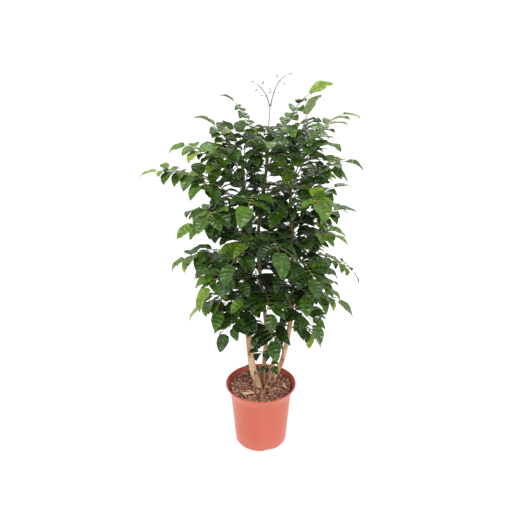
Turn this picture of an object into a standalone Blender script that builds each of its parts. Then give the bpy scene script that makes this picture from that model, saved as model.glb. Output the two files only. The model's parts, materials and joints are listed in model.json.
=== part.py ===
"""A china doll plant in its nursery pot: four woody stems, compound leaves and a thin top twig.

Metres, +Z up, +X to the right of the viewer and +Y away. The origin is the middle of the pot's flat base.
Each compound leaf (a frond) is one open sheet of stalks and leaflets, thickened to one closed body.
"""
import math
import random

import bmesh
import bpy
import numpy as np
from mathutils import Matrix, Vector
from mathutils.bvhtree import BVHTree

# Pot
POT_HEIGHT = 0.200
RIM_RADIUS = 0.105
LIP_DROP = 0.0060
LIP_REACH = 0.0030
NECK_HEIGHT = 0.164
NECK_RADIUS = 0.0905
FLARE_POWER = 1.35  # how late the collar opens
BASE_RADIUS = 0.0765
FOOT_ROUND = 0.010
WALL = 0.0018
TURN_STEPS = 36
ARCH_COUNT = 5
ARCH_FIRST = math.radians(-72)
ARCH_HALF_WIDTH = 0.0195
ARCH_HEIGHT = 0.0088
ARCH_DEPTH = 0.030

# Soil and what lies on it
SOIL_LEVEL = 0.187
SOIL_FOOT = ((0.0720, 0.0130), (0.0580, 0.0021))  # radius and height, resting on the pot's floor
LUMP = 0.0022
SOIL_RINGS = (0.0, 0.015, 0.030, 0.045, 0.060, 0.074, 0.086)
CHIPS = (
    # name, x, y, length, width, thickness, turn in degrees
    ("wood_chip_left", -0.036, -0.046, 0.036, 0.015, 0.0035, 12),
    ("wood_chip_right", 0.070, -0.010, 0.020, 0.007, 0.0030, 115),
)

GAP = 0.0003  # between pieces that touch

# Stems: points of x, y, z and radius, from the buried foot up
STEMS = {
    "left_stem": (
        (-0.005, -0.006, 0.133, 0.0114), (-0.005, -0.006, 0.176, 0.0114), (-0.012, -0.004, 0.206, 0.0112),
        (-0.025, 0.000, 0.253, 0.0107), (-0.031, 0.001, 0.310, 0.0101), (-0.037, 0.000, 0.388, 0.0095),
        (-0.043, 0.004, 0.500, 0.0083), (-0.042, 0.002, 0.620, 0.0070), (-0.049, -0.003, 0.740, 0.0057),
        (-0.046, 0.003, 0.830, 0.0046), (-0.050, 0.001, 0.888, 0.0038),
    ),
    "centre_stem": (
        (0.006, 0.023, 0.133, 0.0066), (0.006, 0.023, 0.170, 0.0066), (0.008, 0.022, 0.220, 0.0066),
        (0.012, 0.021, 0.290, 0.0065), (0.016, 0.018, 0.360, 0.0063), (0.008, 0.006, 0.470, 0.0054),
        (-0.003, -0.010, 0.580, 0.0051), (-0.006, -0.018, 0.690, 0.0047), (0.008, -0.008, 0.800, 0.0042),
        (0.018, 0.000, 0.890, 0.0035), (0.019, 0.000, 0.945, 0.0029),
    ),
    "right_stem": (
        (0.0155, -0.011, 0.133, 0.0082), (0.0155, -0.011, 0.176, 0.0082), (0.028, -0.010, 0.205, 0.0081),
        (0.050, -0.010, 0.250, 0.0079), (0.065, -0.010, 0.290, 0.0076), (0.083, -0.010, 0.390, 0.0069),
        (0.090, -0.012, 0.500, 0.0061), (0.087, -0.008, 0.620, 0.0053), (0.081, -0.002, 0.740, 0.0045),
        (0.080, 0.002, 0.830, 0.0040), (0.086, 0.000, 0.900, 0.0033),
    ),
    "back_stem": (
        (0.021, 0.038, 0.133, 0.0062), (0.021, 0.038, 0.170, 0.0062), (0.028, 0.038, 0.210, 0.0060),
        (0.039, 0.038, 0.250, 0.0058), (0.059, 0.042, 0.330, 0.0055), (0.086, 0.055, 0.440, 0.0050),
        (0.103, 0.072, 0.560, 0.0045), (0.112, 0.083, 0.660, 0.0040), (0.118, 0.088, 0.735, 0.0033),
    ),
}
STEM_STATIONS = 13
STEM_SIDES_STEP = 2  # bevel resolution: eight sides

# Fronds: stem, height on it, tip (x, y, z), kind, rise of the arch
FRONDS = (
    ("left_stem", 0.922, (-0.165, 0.020, 0.975), "plain", 0.03),
    ("left_stem", 0.895, (-0.140, -0.120, 0.930), "plain", 0.04),
    ("left_stem", 0.865, (-0.250, 0.040, 0.905), "plain", 0.04),
    ("left_stem", 0.815, (-0.325, -0.020, 0.845), "full", 0.05),
    ("left_stem", 0.840, (-0.150, 0.190, 0.860), "full", 0.06),
    ("left_stem", 0.780, (-0.160, -0.210, 0.760), "full", 0.06),
    ("left_stem", 0.730, (-0.215, -0.090, 0.705), "plain", 0.06),
    ("left_stem", 0.705, (-0.220, 0.140, 0.690), "full", 0.06),
    ("left_stem", 0.640, (-0.260, 0.000, 0.575), "full", 0.06),
    ("left_stem", 0.610, (-0.160, -0.190, 0.560), "full", 0.07),
    ("left_stem", 0.575, (-0.180, 0.190, 0.520), "full", 0.07),
    ("left_stem", 0.510, (-0.210, -0.050, 0.445), "full", 0.06),
    ("left_stem", 0.480, (-0.110, -0.170, 0.410), "plain", 0.05),
    ("left_stem", 0.450, (-0.140, 0.110, 0.390), "plain", 0.05),
    ("centre_stem", 0.935, (-0.100, -0.010, 1.040), "small", 0.02),
    ("centre_stem", 0.915, (0.172, 0.000, 1.060), "plain", 0.03),
    ("centre_stem", 0.890, (0.020, -0.190, 0.945), "full", 0.06),
    ("centre_stem", 0.865, (0.030, 0.220, 0.920), "plain", 0.06),
    ("centre_stem", 0.815, (-0.040, -0.240, 0.795), "full", 0.07),
    ("centre_stem", 0.760, (0.050, 0.260, 0.740), "full", 0.07),
    ("centre_stem", 0.715, (0.060, -0.240, 0.680), "full", 0.07),
    ("centre_stem", 0.690, (-0.090, -0.230, 0.640), "plain", 0.07),
    ("centre_stem", 0.625, (0.010, 0.250, 0.585), "full", 0.07),
    ("centre_stem", 0.560, (0.030, -0.230, 0.500), "full", 0.07),
    ("centre_stem", 0.480, (0.000, 0.210, 0.430), "plain", 0.06),
    ("centre_stem", 0.440, (0.040, -0.160, 0.380), "plain", 0.05),
    ("right_stem", 0.890, (0.242, -0.125, 1.026), "plain", 0.02),
    ("right_stem", 0.865, (0.200, -0.120, 0.945), "plain", 0.04),
    ("right_stem", 0.845, (0.170, 0.170, 0.930), "full", 0.05),
    ("right_stem", 0.805, (0.270, -0.030, 0.875), "full", 0.05),
    ("right_stem", 0.770, (0.160, -0.220, 0.800), "full", 0.06),
    ("right_stem", 0.735, (0.245, 0.040, 0.790), "plain", 0.05),
    ("right_stem", 0.690, (0.230, -0.090, 0.680), "full", 0.05),
    ("right_stem", 0.640, (0.150, -0.220, 0.600), "full", 0.06),
    ("right_stem", 0.560, (0.225, -0.090, 0.525), "full", 0.05),
    ("right_stem", 0.500, (0.160, -0.170, 0.440), "plain", 0.05),
    ("right_stem", 0.440, (0.172, -0.045, 0.352), "small", 0.03),
    ("back_stem", 0.765, (0.200, 0.220, 0.800), "plain", 0.05),
    ("back_stem", 0.700, (0.255, 0.110, 0.690), "plain", 0.05),
    ("back_stem", 0.625, (0.285, 0.030, 0.530), "fine", 0.04),
    ("back_stem", 0.580, (0.170, 0.240, 0.550), "full", 0.06),
    ("back_stem", 0.500, (0.265, 0.050, 0.410), "plain", 0.05),
    ("back_stem", 0.450, (0.150, 0.190, 0.410), "plain", 0.05),
    ("centre_stem", 0.335, (-0.010, -0.075, 0.330), "sprout", 0.01),
    ("centre_stem", 0.300, (0.046, -0.040, 0.260), "sprout", 0.01),
    ("centre_stem", 0.245, (-0.045, 0.065, 0.215), "sprout", 0.01),
    ("right_stem", 0.930, (0.145, -0.045, 1.035), "plain", 0.02),
)

# Kinds: terminal leaflet length, place of each pair along the stalk, and its kind
KINDS = {
    "full": (0.066, ((0.40, "side stalk"), (0.62, "leaflet"), (0.82, "leaflet"))),
    "plain": (0.062, ((0.36, "leaflet"), (0.55, "leaflet"), (0.75, "leaflet"))),
    "small": (0.044, ((0.40, "leaflet"), (0.60, "leaflet"), (0.80, "leaflet"))),
    "fine": (0.038, ((0.34, "leaflet"), (0.48, "leaflet"), (0.62, "leaflet"), (0.76, "leaflet"), (0.89, "leaflet"))),
    "sprout": (0.034, ((0.60, "leaflet"),)),
    "side stalk": (0.058, ((0.52, "leaflet"),)),
    "fork": (0.0105, ((0.40, "leaflet"), (0.78, "leaflet"))),
}
SIDE_LEAFLET = 0.94  # of the terminal leaflet
SIDE_STALK_LENGTH = 0.062
WIDTH_OF_LENGTH = 0.66
PETIOLULE = 0.008
STUB = 0.006
LEAF_SPREAD = math.radians(63)
STALK_SPREAD = math.radians(56)
BEND = math.radians(30)
FOLD = 0.16
SIZE_RANGE = (0.74, 1.14)
DROOP = (0.12, 0.22)  # middle and most to either side
FACING = (0.45, 0.8, 0.22)  # shares of the stalk's upper side, straight up and outward
LOW_ROW = (0.16, 0.88)  # along the blade and across it
WIDE_ROW = 0.53
CROWN_OF_ARCH = 0.45  # where along a frond its arch is controlled
FOOT_LOWER = 0.045  # a frond leaves its stem this far below its level, and rises

# Thickness and width of the sheet
STALK_THICK = 0.0024
BLADE_THICK = 0.0008
STALK_HALF = (0.0019, 0.0011)
BASE_EDGE = 0.0034
LONG_GAP = 0.085  # a stalk is split between nodes further apart
THINNING = 0.45  # share of its thickness that a stalk loses to its end

# Twig
TWIG_FORK = (0.024, -0.001, 1.025)
TWIG_LEFT = ((0.016, -0.001, 1.060), (-0.009, -0.001, 1.078))
TWIG_RIGHT = ((0.036, -0.001, 1.086), (0.062, -0.001, 1.098))

# Clearance while the leaflets are placed
LEAF_CLEAR = 0.0017
STALK_CLEAR = 0.0024
SEED = 11

GREEN = (0.052, 0.130, 0.030, 1.0)
COLOURS = {
    "pot": ((0.66, 0.17, 0.105, 1.0), 0.42),
    "soil": ((0.105, 0.048, 0.030, 1.0), 0.95),
    "stem": ((0.46, 0.27, 0.14, 1.0), 0.75),
    "leaf": (GREEN, 0.38),
    "twig": ((0.16, 0.13, 0.06, 1.0), 0.6),
    "chip": ((0.55, 0.32, 0.17, 1.0), 0.85),
}


def clear_scene():
    for thing in list(bpy.data.objects):
        bpy.data.objects.remove(thing, do_unlink=True)


def new_collection(name):
    made = bpy.data.collections.new(name)
    bpy.context.scene.collection.children.link(made)
    return made


def new_material(name):
    colour, roughness = COLOURS[name]
    made = bpy.data.materials.new(name)
    made.use_nodes = True
    shader = made.node_tree.nodes["Principled BSDF"]
    shader.inputs["Base Color"].default_value = colour
    shader.inputs["Roughness"].default_value = roughness
    return made


def new_object(name, data, collection, material):
    made = bpy.data.objects.new(name, data)
    made.data.materials.append(material)
    collection.objects.link(made)
    return made


def baked(thing):
    """The object's evaluated mesh, in a new mesh, with the loose caps of a curve welded on."""
    graph = bpy.context.evaluated_depsgraph_get()
    mesh = bpy.data.meshes.new_from_object(thing.evaluated_get(graph))
    sheet = bmesh.new()
    sheet.from_mesh(mesh)
    bmesh.ops.remove_doubles(sheet, verts=sheet.verts, dist=1e-6)
    sheet.to_mesh(mesh)
    sheet.free()
    return mesh


def turned(name, profile, collection, material):
    """A profile of (radius, height) points turned round the Z axis."""
    mesh = bpy.data.meshes.new(name)
    edges = [(k, k + 1) for k in range(len(profile) - 1)]
    mesh.from_pydata([(radius, 0.0, height) for radius, height in profile], edges, [])
    made = new_object(name, mesh, collection, material)
    screw = made.modifiers.new("Turn", "SCREW")
    screw.steps = TURN_STEPS
    screw.render_steps = TURN_STEPS
    screw.use_merge_vertices = True
    screw.merge_threshold = 0.00005
    return made


def cut(target, cutter):
    difference = target.modifiers.new(cutter.name, "BOOLEAN")
    difference.operation = "DIFFERENCE"
    difference.object = cutter
    difference.solver = "EXACT"


def make_cutter(thing):
    thing.hide_render = True
    thing.display_type = "WIRE"


# Pot

def wall_radius(height):
    """Outer radius: a straight taper up to the neck, then the flare of the collar."""
    taper = BASE_RADIUS + (NECK_RADIUS - BASE_RADIUS) * height / NECK_HEIGHT
    if height <= NECK_HEIGHT:
        return taper
    top = POT_HEIGHT - LIP_DROP
    share = (height - NECK_HEIGHT) / (top - NECK_HEIGHT)
    return NECK_RADIUS + (RIM_RADIUS - LIP_REACH - NECK_RADIUS) * share ** FLARE_POWER


def collar_heights():
    """Heights of the rings in the collar, bottom to top, the soil's level among them."""
    top = POT_HEIGHT - LIP_DROP
    return (NECK_HEIGHT, (NECK_HEIGHT + SOIL_LEVEL) / 2, SOIL_LEVEL, (SOIL_LEVEL + top) / 2, top)


def pot_profile():
    outer = [
        (RIM_RADIUS - LIP_REACH * 0.5, POT_HEIGHT),
        (RIM_RADIUS, POT_HEIGHT - LIP_DROP * 0.22),
        (RIM_RADIUS, POT_HEIGHT - LIP_DROP * 0.72),
    ]
    outer += [(wall_radius(z), z) for z in reversed(collar_heights())]
    centre = wall_radius(FOOT_ROUND) - FOOT_ROUND
    for step in range(4):
        angle = math.radians(30 * step)
        outer.append((centre + FOOT_ROUND * math.cos(angle), FOOT_ROUND - FOOT_ROUND * math.sin(angle)))
    outer.append((0.0, 0.0))
    inner = [(0.0, WALL), (centre, WALL), (wall_radius(FOOT_ROUND) - WALL, FOOT_ROUND)]
    inner += [(wall_radius(z) - WALL, z) for z in collar_heights()]
    inner.append((RIM_RADIUS - LIP_REACH - WALL, POT_HEIGHT - LIP_DROP * 0.15))
    return inner + outer


def make_pot(parts, cutters, material):
    pot = turned("pot", pot_profile(), parts, material)
    for k in range(ARCH_COUNT):
        angle = ARCH_FIRST + k * 2 * math.pi / ARCH_COUNT
        bpy.ops.mesh.primitive_cylinder_add(vertices=12, radius=1.0, depth=ARCH_DEPTH)
        arch = bpy.context.object
        arch.name = f"foot_arch_{k + 1}"
        stretch = Matrix.Diagonal((ARCH_HEIGHT, ARCH_HALF_WIDTH, 1.0, 1.0))
        lay = Matrix.Rotation(math.pi / 2, 4, "Y")
        out = Matrix.Translation((BASE_RADIUS, 0.0, 0.0))
        arch.data.transform(Matrix.Rotation(angle, 4, "Z") @ out @ lay @ stretch)
        for holder in list(arch.users_collection):
            holder.objects.unlink(arch)
        cutters.objects.link(arch)
        make_cutter(arch)
        cut(pot, arch)
    return pot


# Soil

def soil_height(x, y):
    """Lumps by formula, dying out towards the wall."""
    edge = max(0.0, 1.0 - (math.hypot(x, y) / wall_radius(SOIL_LEVEL)) ** 4)
    waves = math.sin(131 * x + 1.3) * math.cos(117 * y - 0.6) + 0.6 * math.sin(247 * x - 201 * y)
    return SOIL_LEVEL + edge * (0.0025 + LUMP * waves / 1.6)


def soil_profile():
    rings = [(radius, SOIL_LEVEL) for radius in SOIL_RINGS]
    low, middle, high = collar_heights()[:3]
    side = [(wall_radius(z) - WALL - GAP, z) for z in (high, middle, low)]
    return rings + side + list(SOIL_FOOT) + [(0.0, SOIL_FOOT[-1][1])]


def make_soil(parts, cutters, material, stems):
    guide = turned("soil_guide", soil_profile(), cutters, material)
    mesh = baked(guide)
    bpy.data.objects.remove(guide, do_unlink=True)
    for corner in mesh.vertices:
        if corner.co.z > SOIL_LEVEL - GAP and math.hypot(corner.co.x, corner.co.y) < 0.08:
            corner.co.z = soil_height(corner.co.x, corner.co.y)
    soil = new_object("soil", mesh, parts, material)
    for name in stems:
        hole = make_tube(name + "_hole", stem_stations(name, STEM_STATIONS)[:5], cutters, material, GAP)
        make_cutter(hole)
        cut(soil, hole)
    return soil


def make_chip(name, x, y, length, width, thickness, turn, parts, material):
    """A split flake of wood, laid on the lumps under it."""
    bpy.ops.mesh.primitive_cube_add(size=1.0)
    chip = bpy.context.object
    chip.name = name
    chip.data.materials.append(material)
    for corner in chip.data.vertices:
        taper = 0.55 if corner.co.x > 0 else 1.0
        corner.co = (corner.co.x * length, corner.co.y * width * taper, corner.co.z * thickness)
    chip.data.transform(Matrix.Translation((x, y, 0.0)) @ Matrix.Rotation(math.radians(turn), 4, "Z"))
    ground = max(soil_height(*spot) for spot in under(chip))
    chip.data.transform(Matrix.Translation((0.0, 0.0, ground + thickness / 2 + GAP)))
    bevel = chip.modifiers.new("Worn edges", "BEVEL")
    bevel.width = thickness * 0.25
    bevel.segments = 1
    for holder in list(chip.users_collection):
        holder.objects.unlink(chip)
    parts.objects.link(chip)
    return chip


def under(thing):
    """A net of points over the object's footprint."""
    xs = [corner.co.x for corner in thing.data.vertices]
    ys = [corner.co.y for corner in thing.data.vertices]
    return [(x, y) for x in np.linspace(min(xs), max(xs), 9) for y in np.linspace(min(ys), max(ys), 9)]


# Lines: stems and stalks are read by distance along them

def smooth_line(points, steps):
    """A Catmull-Rom curve through the points, of any dimension."""
    knots = np.array(points, dtype=float)
    ends = np.vstack([2 * knots[0] - knots[1], knots, 2 * knots[-1] - knots[-2]])
    made = []
    for k in range(len(knots) - 1):
        a, b, c, d = ends[k:k + 4]
        for t in np.linspace(0.0, 1.0, steps, endpoint=False):
            bent = (2 * a - 5 * b + 4 * c - d) * t ** 2 + (3 * b - a - 3 * c + d) * t ** 3
            made.append(0.5 * (2 * b + (c - a) * t + bent))
    made.append(knots[-1])
    return np.array(made)


class Line:
    """A polyline measured along its length, with the direction that its upper side faces."""

    def __init__(self, points, upper):
        self.points = np.array(points, dtype=float)
        steps = np.linalg.norm(np.diff(self.points, axis=0), axis=1)
        self.marks = np.concatenate([[0.0], np.cumsum(steps)])
        self.length = float(self.marks[-1])
        self.upper = Vector(upper)

    def at(self, distance):
        return Vector([float(np.interp(distance, self.marks, self.points[:, k])) for k in range(3)])

    def frame(self, distance):
        """Place, heading, normal and right-hand side."""
        ahead = self.at(min(distance + 0.003, self.length))
        heading = (ahead - self.at(max(distance - 0.003, 0.0))).normalized()
        normal = (self.upper - heading * self.upper.dot(heading)).normalized()
        return self.at(distance), heading, normal, heading.cross(normal)


def arc(start, control, end, steps=14):
    made = []
    for t in np.linspace(0.0, 1.0, steps):
        made.append(start * (1 - t) ** 2 + control * (2 * t * (1 - t)) + end * t ** 2)
    return made


def stem_stations(name, count):
    """Evenly spread (x, y, z, radius) stations, the first three close together in the soil."""
    fine = smooth_line(STEMS[name], 8)
    low, top = fine[0][2], fine[-1][2]
    heights = [low, low + 0.037] + list(np.linspace(low + 0.062, top, count - 2))
    return [[float(np.interp(z, fine[:, 2], fine[:, k])) for k in (0, 1, 2, 3)] for z in heights]


def on_stem(name, height):
    """Centre, radius and direction of a stem at a height."""
    stations = np.array(stem_stations(name, STEM_STATIONS))
    low, here, high = [
        np.array([np.interp(z, stations[:, 2], stations[:, k]) for k in range(4)])
        for z in (height - 0.004, height, height + 0.004)
    ]
    return Vector(here[:3]), float(here[3]), Vector(high[:3] - low[:3]).normalized()


def make_tube(name, stations, collection, material, extra=0.0):
    """A round tube through (x, y, z, radius) stations, as a closed mesh. Extra widens and lengthens it."""
    curve = bpy.data.curves.new(name, "CURVE")
    curve.dimensions = "3D"
    curve.bevel_depth = 1.0
    curve.bevel_resolution = STEM_SIDES_STEP
    curve.use_fill_caps = True
    spline = curve.splines.new("POLY")
    spline.points.add(len(stations) - 1)
    for point, (x, y, z, radius) in zip(spline.points, stations):
        point.co = (x, y, z, 1.0)
        point.radius = radius + extra
    spline.points[0].co.z -= extra
    guide = bpy.data.objects.new(name, curve)
    collection.objects.link(guide)
    mesh = baked(guide)
    bpy.data.objects.remove(guide, do_unlink=True)
    mesh.shade_smooth()
    mesh.set_sharp_from_angle(angle=math.radians(50))
    return new_object(name, mesh, collection, material)


# Plan of a frond: stalks that carry leaflets or further stalks

class Stalk:
    def __init__(self, line, kind, taper=(0.0, 1.0)):
        self.line = line
        self.kind = kind
        self.taper = taper
        self.children = []  # (distance, side, child): side is -1 left, 1 right, 0 at the end

    def half(self, distance):
        share = self.taper[0] + (self.taper[1] - self.taper[0]) * distance / self.line.length
        return STALK_HALF[0] + (STALK_HALF[1] - STALK_HALF[0]) * share


class Leaflet:
    def __init__(self, stalk, distance, side, length, rank):
        self.stalk = stalk
        self.distance = distance
        self.side = side
        self.length = length
        self.rank = rank
        self.placed = False

    def aim(self, droop, yaw, roll, size, outward):
        """Sets the leaflet's base, heading and normal."""
        place, heading, normal, right = self.stalk.line.frame(self.distance)
        spread = (LEAF_SPREAD + yaw) * self.side if self.side else yaw
        self.base = place + right * (self.side * self.stalk.half(self.distance))
        level = heading * math.cos(spread) + right * math.sin(spread)
        self.heading = (level - Vector((0.0, 0.0, droop))).normalized()
        facing = (normal * FACING[0] + Vector((0.0, 0.0, FACING[1])) + outward * FACING[2]).normalized()
        flat = (facing - self.heading * facing.dot(self.heading)).normalized()
        self.normal = Matrix.Rotation(roll, 3, self.heading) @ flat
        self.right = self.heading.cross(self.normal)
        self.reach = self.length * size

    def spot(self, along, across, off=0.0):
        """A point of the blade: along it from 0 to 1, across it from -1 to 1, and off its face."""
        angle = BEND * max(along, 1e-3)
        forward = PETIOLULE + self.reach * max(along, 1e-3) * math.sin(angle) / angle
        drop = self.reach * max(along, 1e-3) * (1 - math.cos(angle)) / angle
        half = self.reach * WIDTH_OF_LENGTH / 2 * outline(along)
        lift = abs(across) * half * FOLD - drop + off
        return self.base + self.heading * forward + self.right * (across * half) + self.normal * lift

    def corners(self, off=0.0):
        """The six free corners of the coarse blade: two low, three across the middle, the tip."""
        along, across = LOW_ROW
        low = [self.spot(along, -across, off), self.spot(along, across, off)]
        wide = [self.spot(WIDE_ROW, side, off) for side in (-1, 0, 1)]
        return low + wide + [self.spot(1.0, 0, off)]


def outline(along):
    """Half width of an ovate leaflet, as a share of its greatest."""
    return math.sin(math.pi * min(along, 1.0) ** 0.7) ** 0.75 if along < 1.0 else 0.0


BLADE_FACES = ((0, 1, 3), (0, 3, 2), (1, 4, 3), (2, 3, 5), (3, 4, 5))
BLADE_RIM = ((0, 1), (1, 4), (4, 5), (5, 2), (2, 0))


def slab(upper, lower, faces, rim):
    """A closed body between two like sheets."""
    count = len(upper)
    made = [tuple(face) for face in faces]
    made += [tuple(count + corner for corner in reversed(face)) for face in faces]
    for a, b in rim:
        made += [(a, a + count, b + count), (a, b + count, b)]
    return upper + lower, made


def leaflet_body(leaflet):
    return slab(leaflet.corners(LEAF_CLEAR), leaflet.corners(-LEAF_CLEAR), BLADE_FACES, BLADE_RIM)


def leaflet_whole(leaflet):
    """The blade with most of the narrow part between it and the stalk."""
    points, faces = leaflet_body(leaflet)
    heel = leaflet.base + leaflet.heading * 0.002
    thin = 0.0010
    across = leaflet.right * 0.0017
    first = len(points)
    points = points + [
        heel - across + leaflet.normal * thin, heel + across + leaflet.normal * thin,
        heel - across - leaflet.normal * thin, heel + across - leaflet.normal * thin,
    ]
    faces = faces + [
        (first, first + 1, 1), (first, 1, 0), (first + 2, 6, 7), (first + 2, 7, first + 3),
    ]
    return points, faces


def stalk_body(line, start, clear):
    """A square tube round a stalk, from a distance along it."""
    points = []
    faces = []
    stops = np.linspace(start, line.length, 6)
    for k, stop in enumerate(stops):
        place, _, normal, right = line.frame(float(stop))
        points += [place + (right * a + normal * b) * clear for a, b in ((-1, -1), (1, -1), (1, 1), (-1, 1))]
        if k:
            for a in range(4):
                b = (a + 1) % 4
                low, high = 4 * (k - 1), 4 * k
                faces += [(low + a, low + b, high + b), (low + a, high + b, high + a)]
    return points, faces


class Space:
    """What is already placed, for testing what comes next."""

    def __init__(self):
        self.trees = []
        self.owners = []
        self.middles = np.zeros((0, 3))
        self.reaches = np.zeros(0)

    def add(self, points, faces, owner):
        middle = sum(points, Vector()) / len(points)
        self.trees.append(BVHTree.FromPolygons(points, faces, all_triangles=True))
        self.owners.append(owner)
        self.middles = np.vstack([self.middles, np.array(middle)])
        self.reaches = np.append(self.reaches, max((point - middle).length for point in points))

    def free(self, points, faces, besides=()):
        """True if the body crosses nothing, apart from what belongs to the owners in besides."""
        middle = sum(points, Vector()) / len(points)
        reach = max((point - middle).length for point in points)
        apart = np.linalg.norm(self.middles - np.array(middle), axis=1)
        near = np.nonzero(apart < self.reaches + reach)[0]
        if not len(near):
            return True
        tree = BVHTree.FromPolygons(points, faces, all_triangles=True)
        return not any(self.owners[k] not in besides and tree.overlap(self.trees[k]) for k in near)


def outward_from_axis(place):
    """Level direction away from the middle of the crown."""
    away = Vector((place.x - 0.02, place.y, 0.0))
    return away.normalized() if away.length > 0.02 else Vector((0.0, -1.0, 0.0))


def frond_line(stem, height, tip, rise, turn):
    """The arch of a frond's main stalk: off the stem at a right angle, up, over and down to its tip."""
    centre, radius, along = on_stem(stem, height - FOOT_LOWER)
    goal = Matrix.Rotation(turn, 3, "Z") @ (Vector(tip) - centre) + centre
    out = goal - centre
    out = (out - along * out.dot(along)).normalized()
    foot = centre + out * (radius + GAP)
    knee = foot + out * STUB
    control = knee.lerp(goal, CROWN_OF_ARCH)
    control.z = max(knee.z, goal.z) + rise
    return Line([foot] + arc(knee, control, goal), (0.0, 0.0, 1.0))


def shortened(line, length):
    """The same line, ended at a length."""
    stops = [mark for mark in line.marks if mark < length - 0.002] + [length]
    return Line([line.at(stop) for stop in stops], line.upper)


def add_pairs(stalk, kind, leaflets, space, rank=0):
    """Hangs the kind's leaflets and side stalks on a stalk."""
    size, pairs = KINDS[kind]
    for share, what in pairs:
        distance = share * stalk.line.length
        for side in (-1, 1):
            if what == "leaflet":
                child = Leaflet(stalk, distance, side, size * SIDE_LEAFLET * (1.08 - 0.15 * share), rank + 1)
                leaflets.append(child)
            else:
                child = side_stalk(stalk, distance, side, leaflets, space)
            if child:
                stalk.children.append((distance, side, child))
    last = Leaflet(stalk, stalk.line.length, 0, size, rank)
    leaflets.append(last)
    stalk.children.append((stalk.line.length, 0, last))


def side_stalk(parent, distance, side, leaflets, space):
    """A side stalk with leaflets of its own, aimed where it is free, or nothing."""
    place, heading, normal, right = parent.line.frame(distance)
    base = place + right * (side * parent.half(distance))
    for droop, turn in ((0.25, 0), (0.0, 0), (0.5, 0), (0.2, -0.25), (0.2, 0.25), (0.5, 0.3), (-0.2, 0.2)):
        spread = (STALK_SPREAD + turn) * side
        level = heading * math.cos(spread) + right * math.sin(spread)
        near = base + level * (SIDE_STALK_LENGTH * 0.5)
        far = base + (level - Vector((0.0, 0.0, droop))) * SIDE_STALK_LENGTH
        line = Line(arc(base, near, far, 6), normal)
        body = stalk_body(line, 0.003, STALK_CLEAR)
        if space.free(*body, (id(parent.line),)):
            space.add(*body, id(line))
            made = Stalk(line, "side stalk", (0.5, 1.0))
            add_pairs(made, "side stalk", leaflets, space, 1)
            return made
    return None


def plan_frond(row, space, leaflets):
    """The main stalk of one frond, aimed where it is free, with all that hangs on it."""
    stem, height, tip, kind, rise = row
    for turn, more in ((0, 0), (0.1, 0), (-0.1, 0), (0, 0.02), (0.2, 0.01), (-0.2, 0.01), (0.3, 0), (-0.3, 0)):
        whole = frond_line(stem, height, tip, rise + more, turn)
        line = shortened(whole, whole.length - KINDS[kind][0] * 0.95)
        body = stalk_body(line, 0.006, STALK_CLEAR)
        if space.free(*body):
            space.add(*body, id(line))
            stalk = Stalk(line, kind)
            add_pairs(stalk, kind, leaflets, space)
            return stalk
    return None


def plan_twig(space, leaflets):
    """The thin fork on top: an upright stalk with two branches near its end."""
    centre, _, along = on_stem("centre_stem", STEMS["centre_stem"][-1][2])
    foot = centre + along * GAP
    front = (0.0, -1.0, 0.0)
    line = Line([foot, foot.lerp(Vector(TWIG_FORK), 0.5), Vector(TWIG_FORK)], front)
    space.add(*stalk_body(line, 0.004, STALK_CLEAR), id(line))
    twig = Stalk(line, "twig", (0.6, 1.0))
    for side, (control, end) in ((-1, TWIG_LEFT), (1, TWIG_RIGHT)):
        distance = line.length - BASE_EDGE / 2
        place, _, _, right = line.frame(distance)
        base = place + right * (side * twig.half(distance))
        branch_line = Line(arc(base, Vector(control), Vector(end), 6), front)
        space.add(*stalk_body(branch_line, 0.004, STALK_CLEAR), id(branch_line))
        branch = Stalk(branch_line, "fork", (0.9, 1.0))
        add_pairs(branch, "fork", leaflets, space, 1)
        twig.children.append((distance, side, branch))
    return twig


def place_leaflets(leaflets, space):
    """Turns each leaflet, main ones first, until it crosses nothing. One that fits nowhere is left off."""
    leaflets.sort(key=lambda leaflet: leaflet.rank)
    draw = random.Random(SEED)
    tries = [
        (abs(droop) + abs(yaw) * 1.5 + abs(roll), droop, yaw, roll)
        for droop in (-0.45, -0.2, 0.0, 0.25, 0.5)
        for yaw in (0.0, 0.2, 0.4)
        for roll in (-0.5, -0.25, 0.0, 0.25, 0.5)
    ]
    tries.sort()
    for leaflet in leaflets:
        droop = DROOP[0] + draw.uniform(-DROOP[1], DROOP[1])
        habit = (droop, draw.uniform(-0.10, 0.12), draw.uniform(-0.25, 0.25))
        size = draw.uniform(*SIZE_RANGE)
        outward = outward_from_axis(leaflet.stalk.line.at(leaflet.distance))
        for share in (1.0, 0.85, 0.7):
            if leaflet.placed:
                break
            for _, more, yaw, roll in tries:
                leaflet.aim(habit[0] + more, habit[1] + yaw, habit[2] + roll, size * share, outward)
                own = (id(leaflet.stalk.line),)
                if space.free(*leaflet_whole(leaflet), own) and space.free(*leaflet_body(leaflet)):
                    space.add(*leaflet_whole(leaflet), id(leaflet))
                    leaflet.placed = True
                    break
    return sum(leaflet.placed for leaflet in leaflets)


# Sheet of a frond

class Sheet:
    def __init__(self):
        self.points = []
        self.faces = []
        self.weights = []

    def point(self, place, thickness):
        self.points.append(place)
        self.weights.append(thickness / STALK_THICK)
        return len(self.points) - 1

    def strip(self, low, high):
        """Two triangles between (left, right) pairs of points."""
        self.faces += [(low[0], low[1], high[1]), (low[0], high[1], high[0])]

    def leaflet(self, base, leaflet):
        corners = [self.point(spot, BLADE_THICK) for spot in leaflet.corners()]
        self.strip(base, (corners[0], corners[1]))
        self.faces += [tuple(corners[k] for k in face) for face in BLADE_FACES]


def grows(child):
    return child.placed if isinstance(child, Leaflet) else True


def add_child(sheet, base, child):
    if isinstance(child, Leaflet):
        sheet.leaflet(base, child)
    else:
        add_stalk(sheet, child, base)


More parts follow.
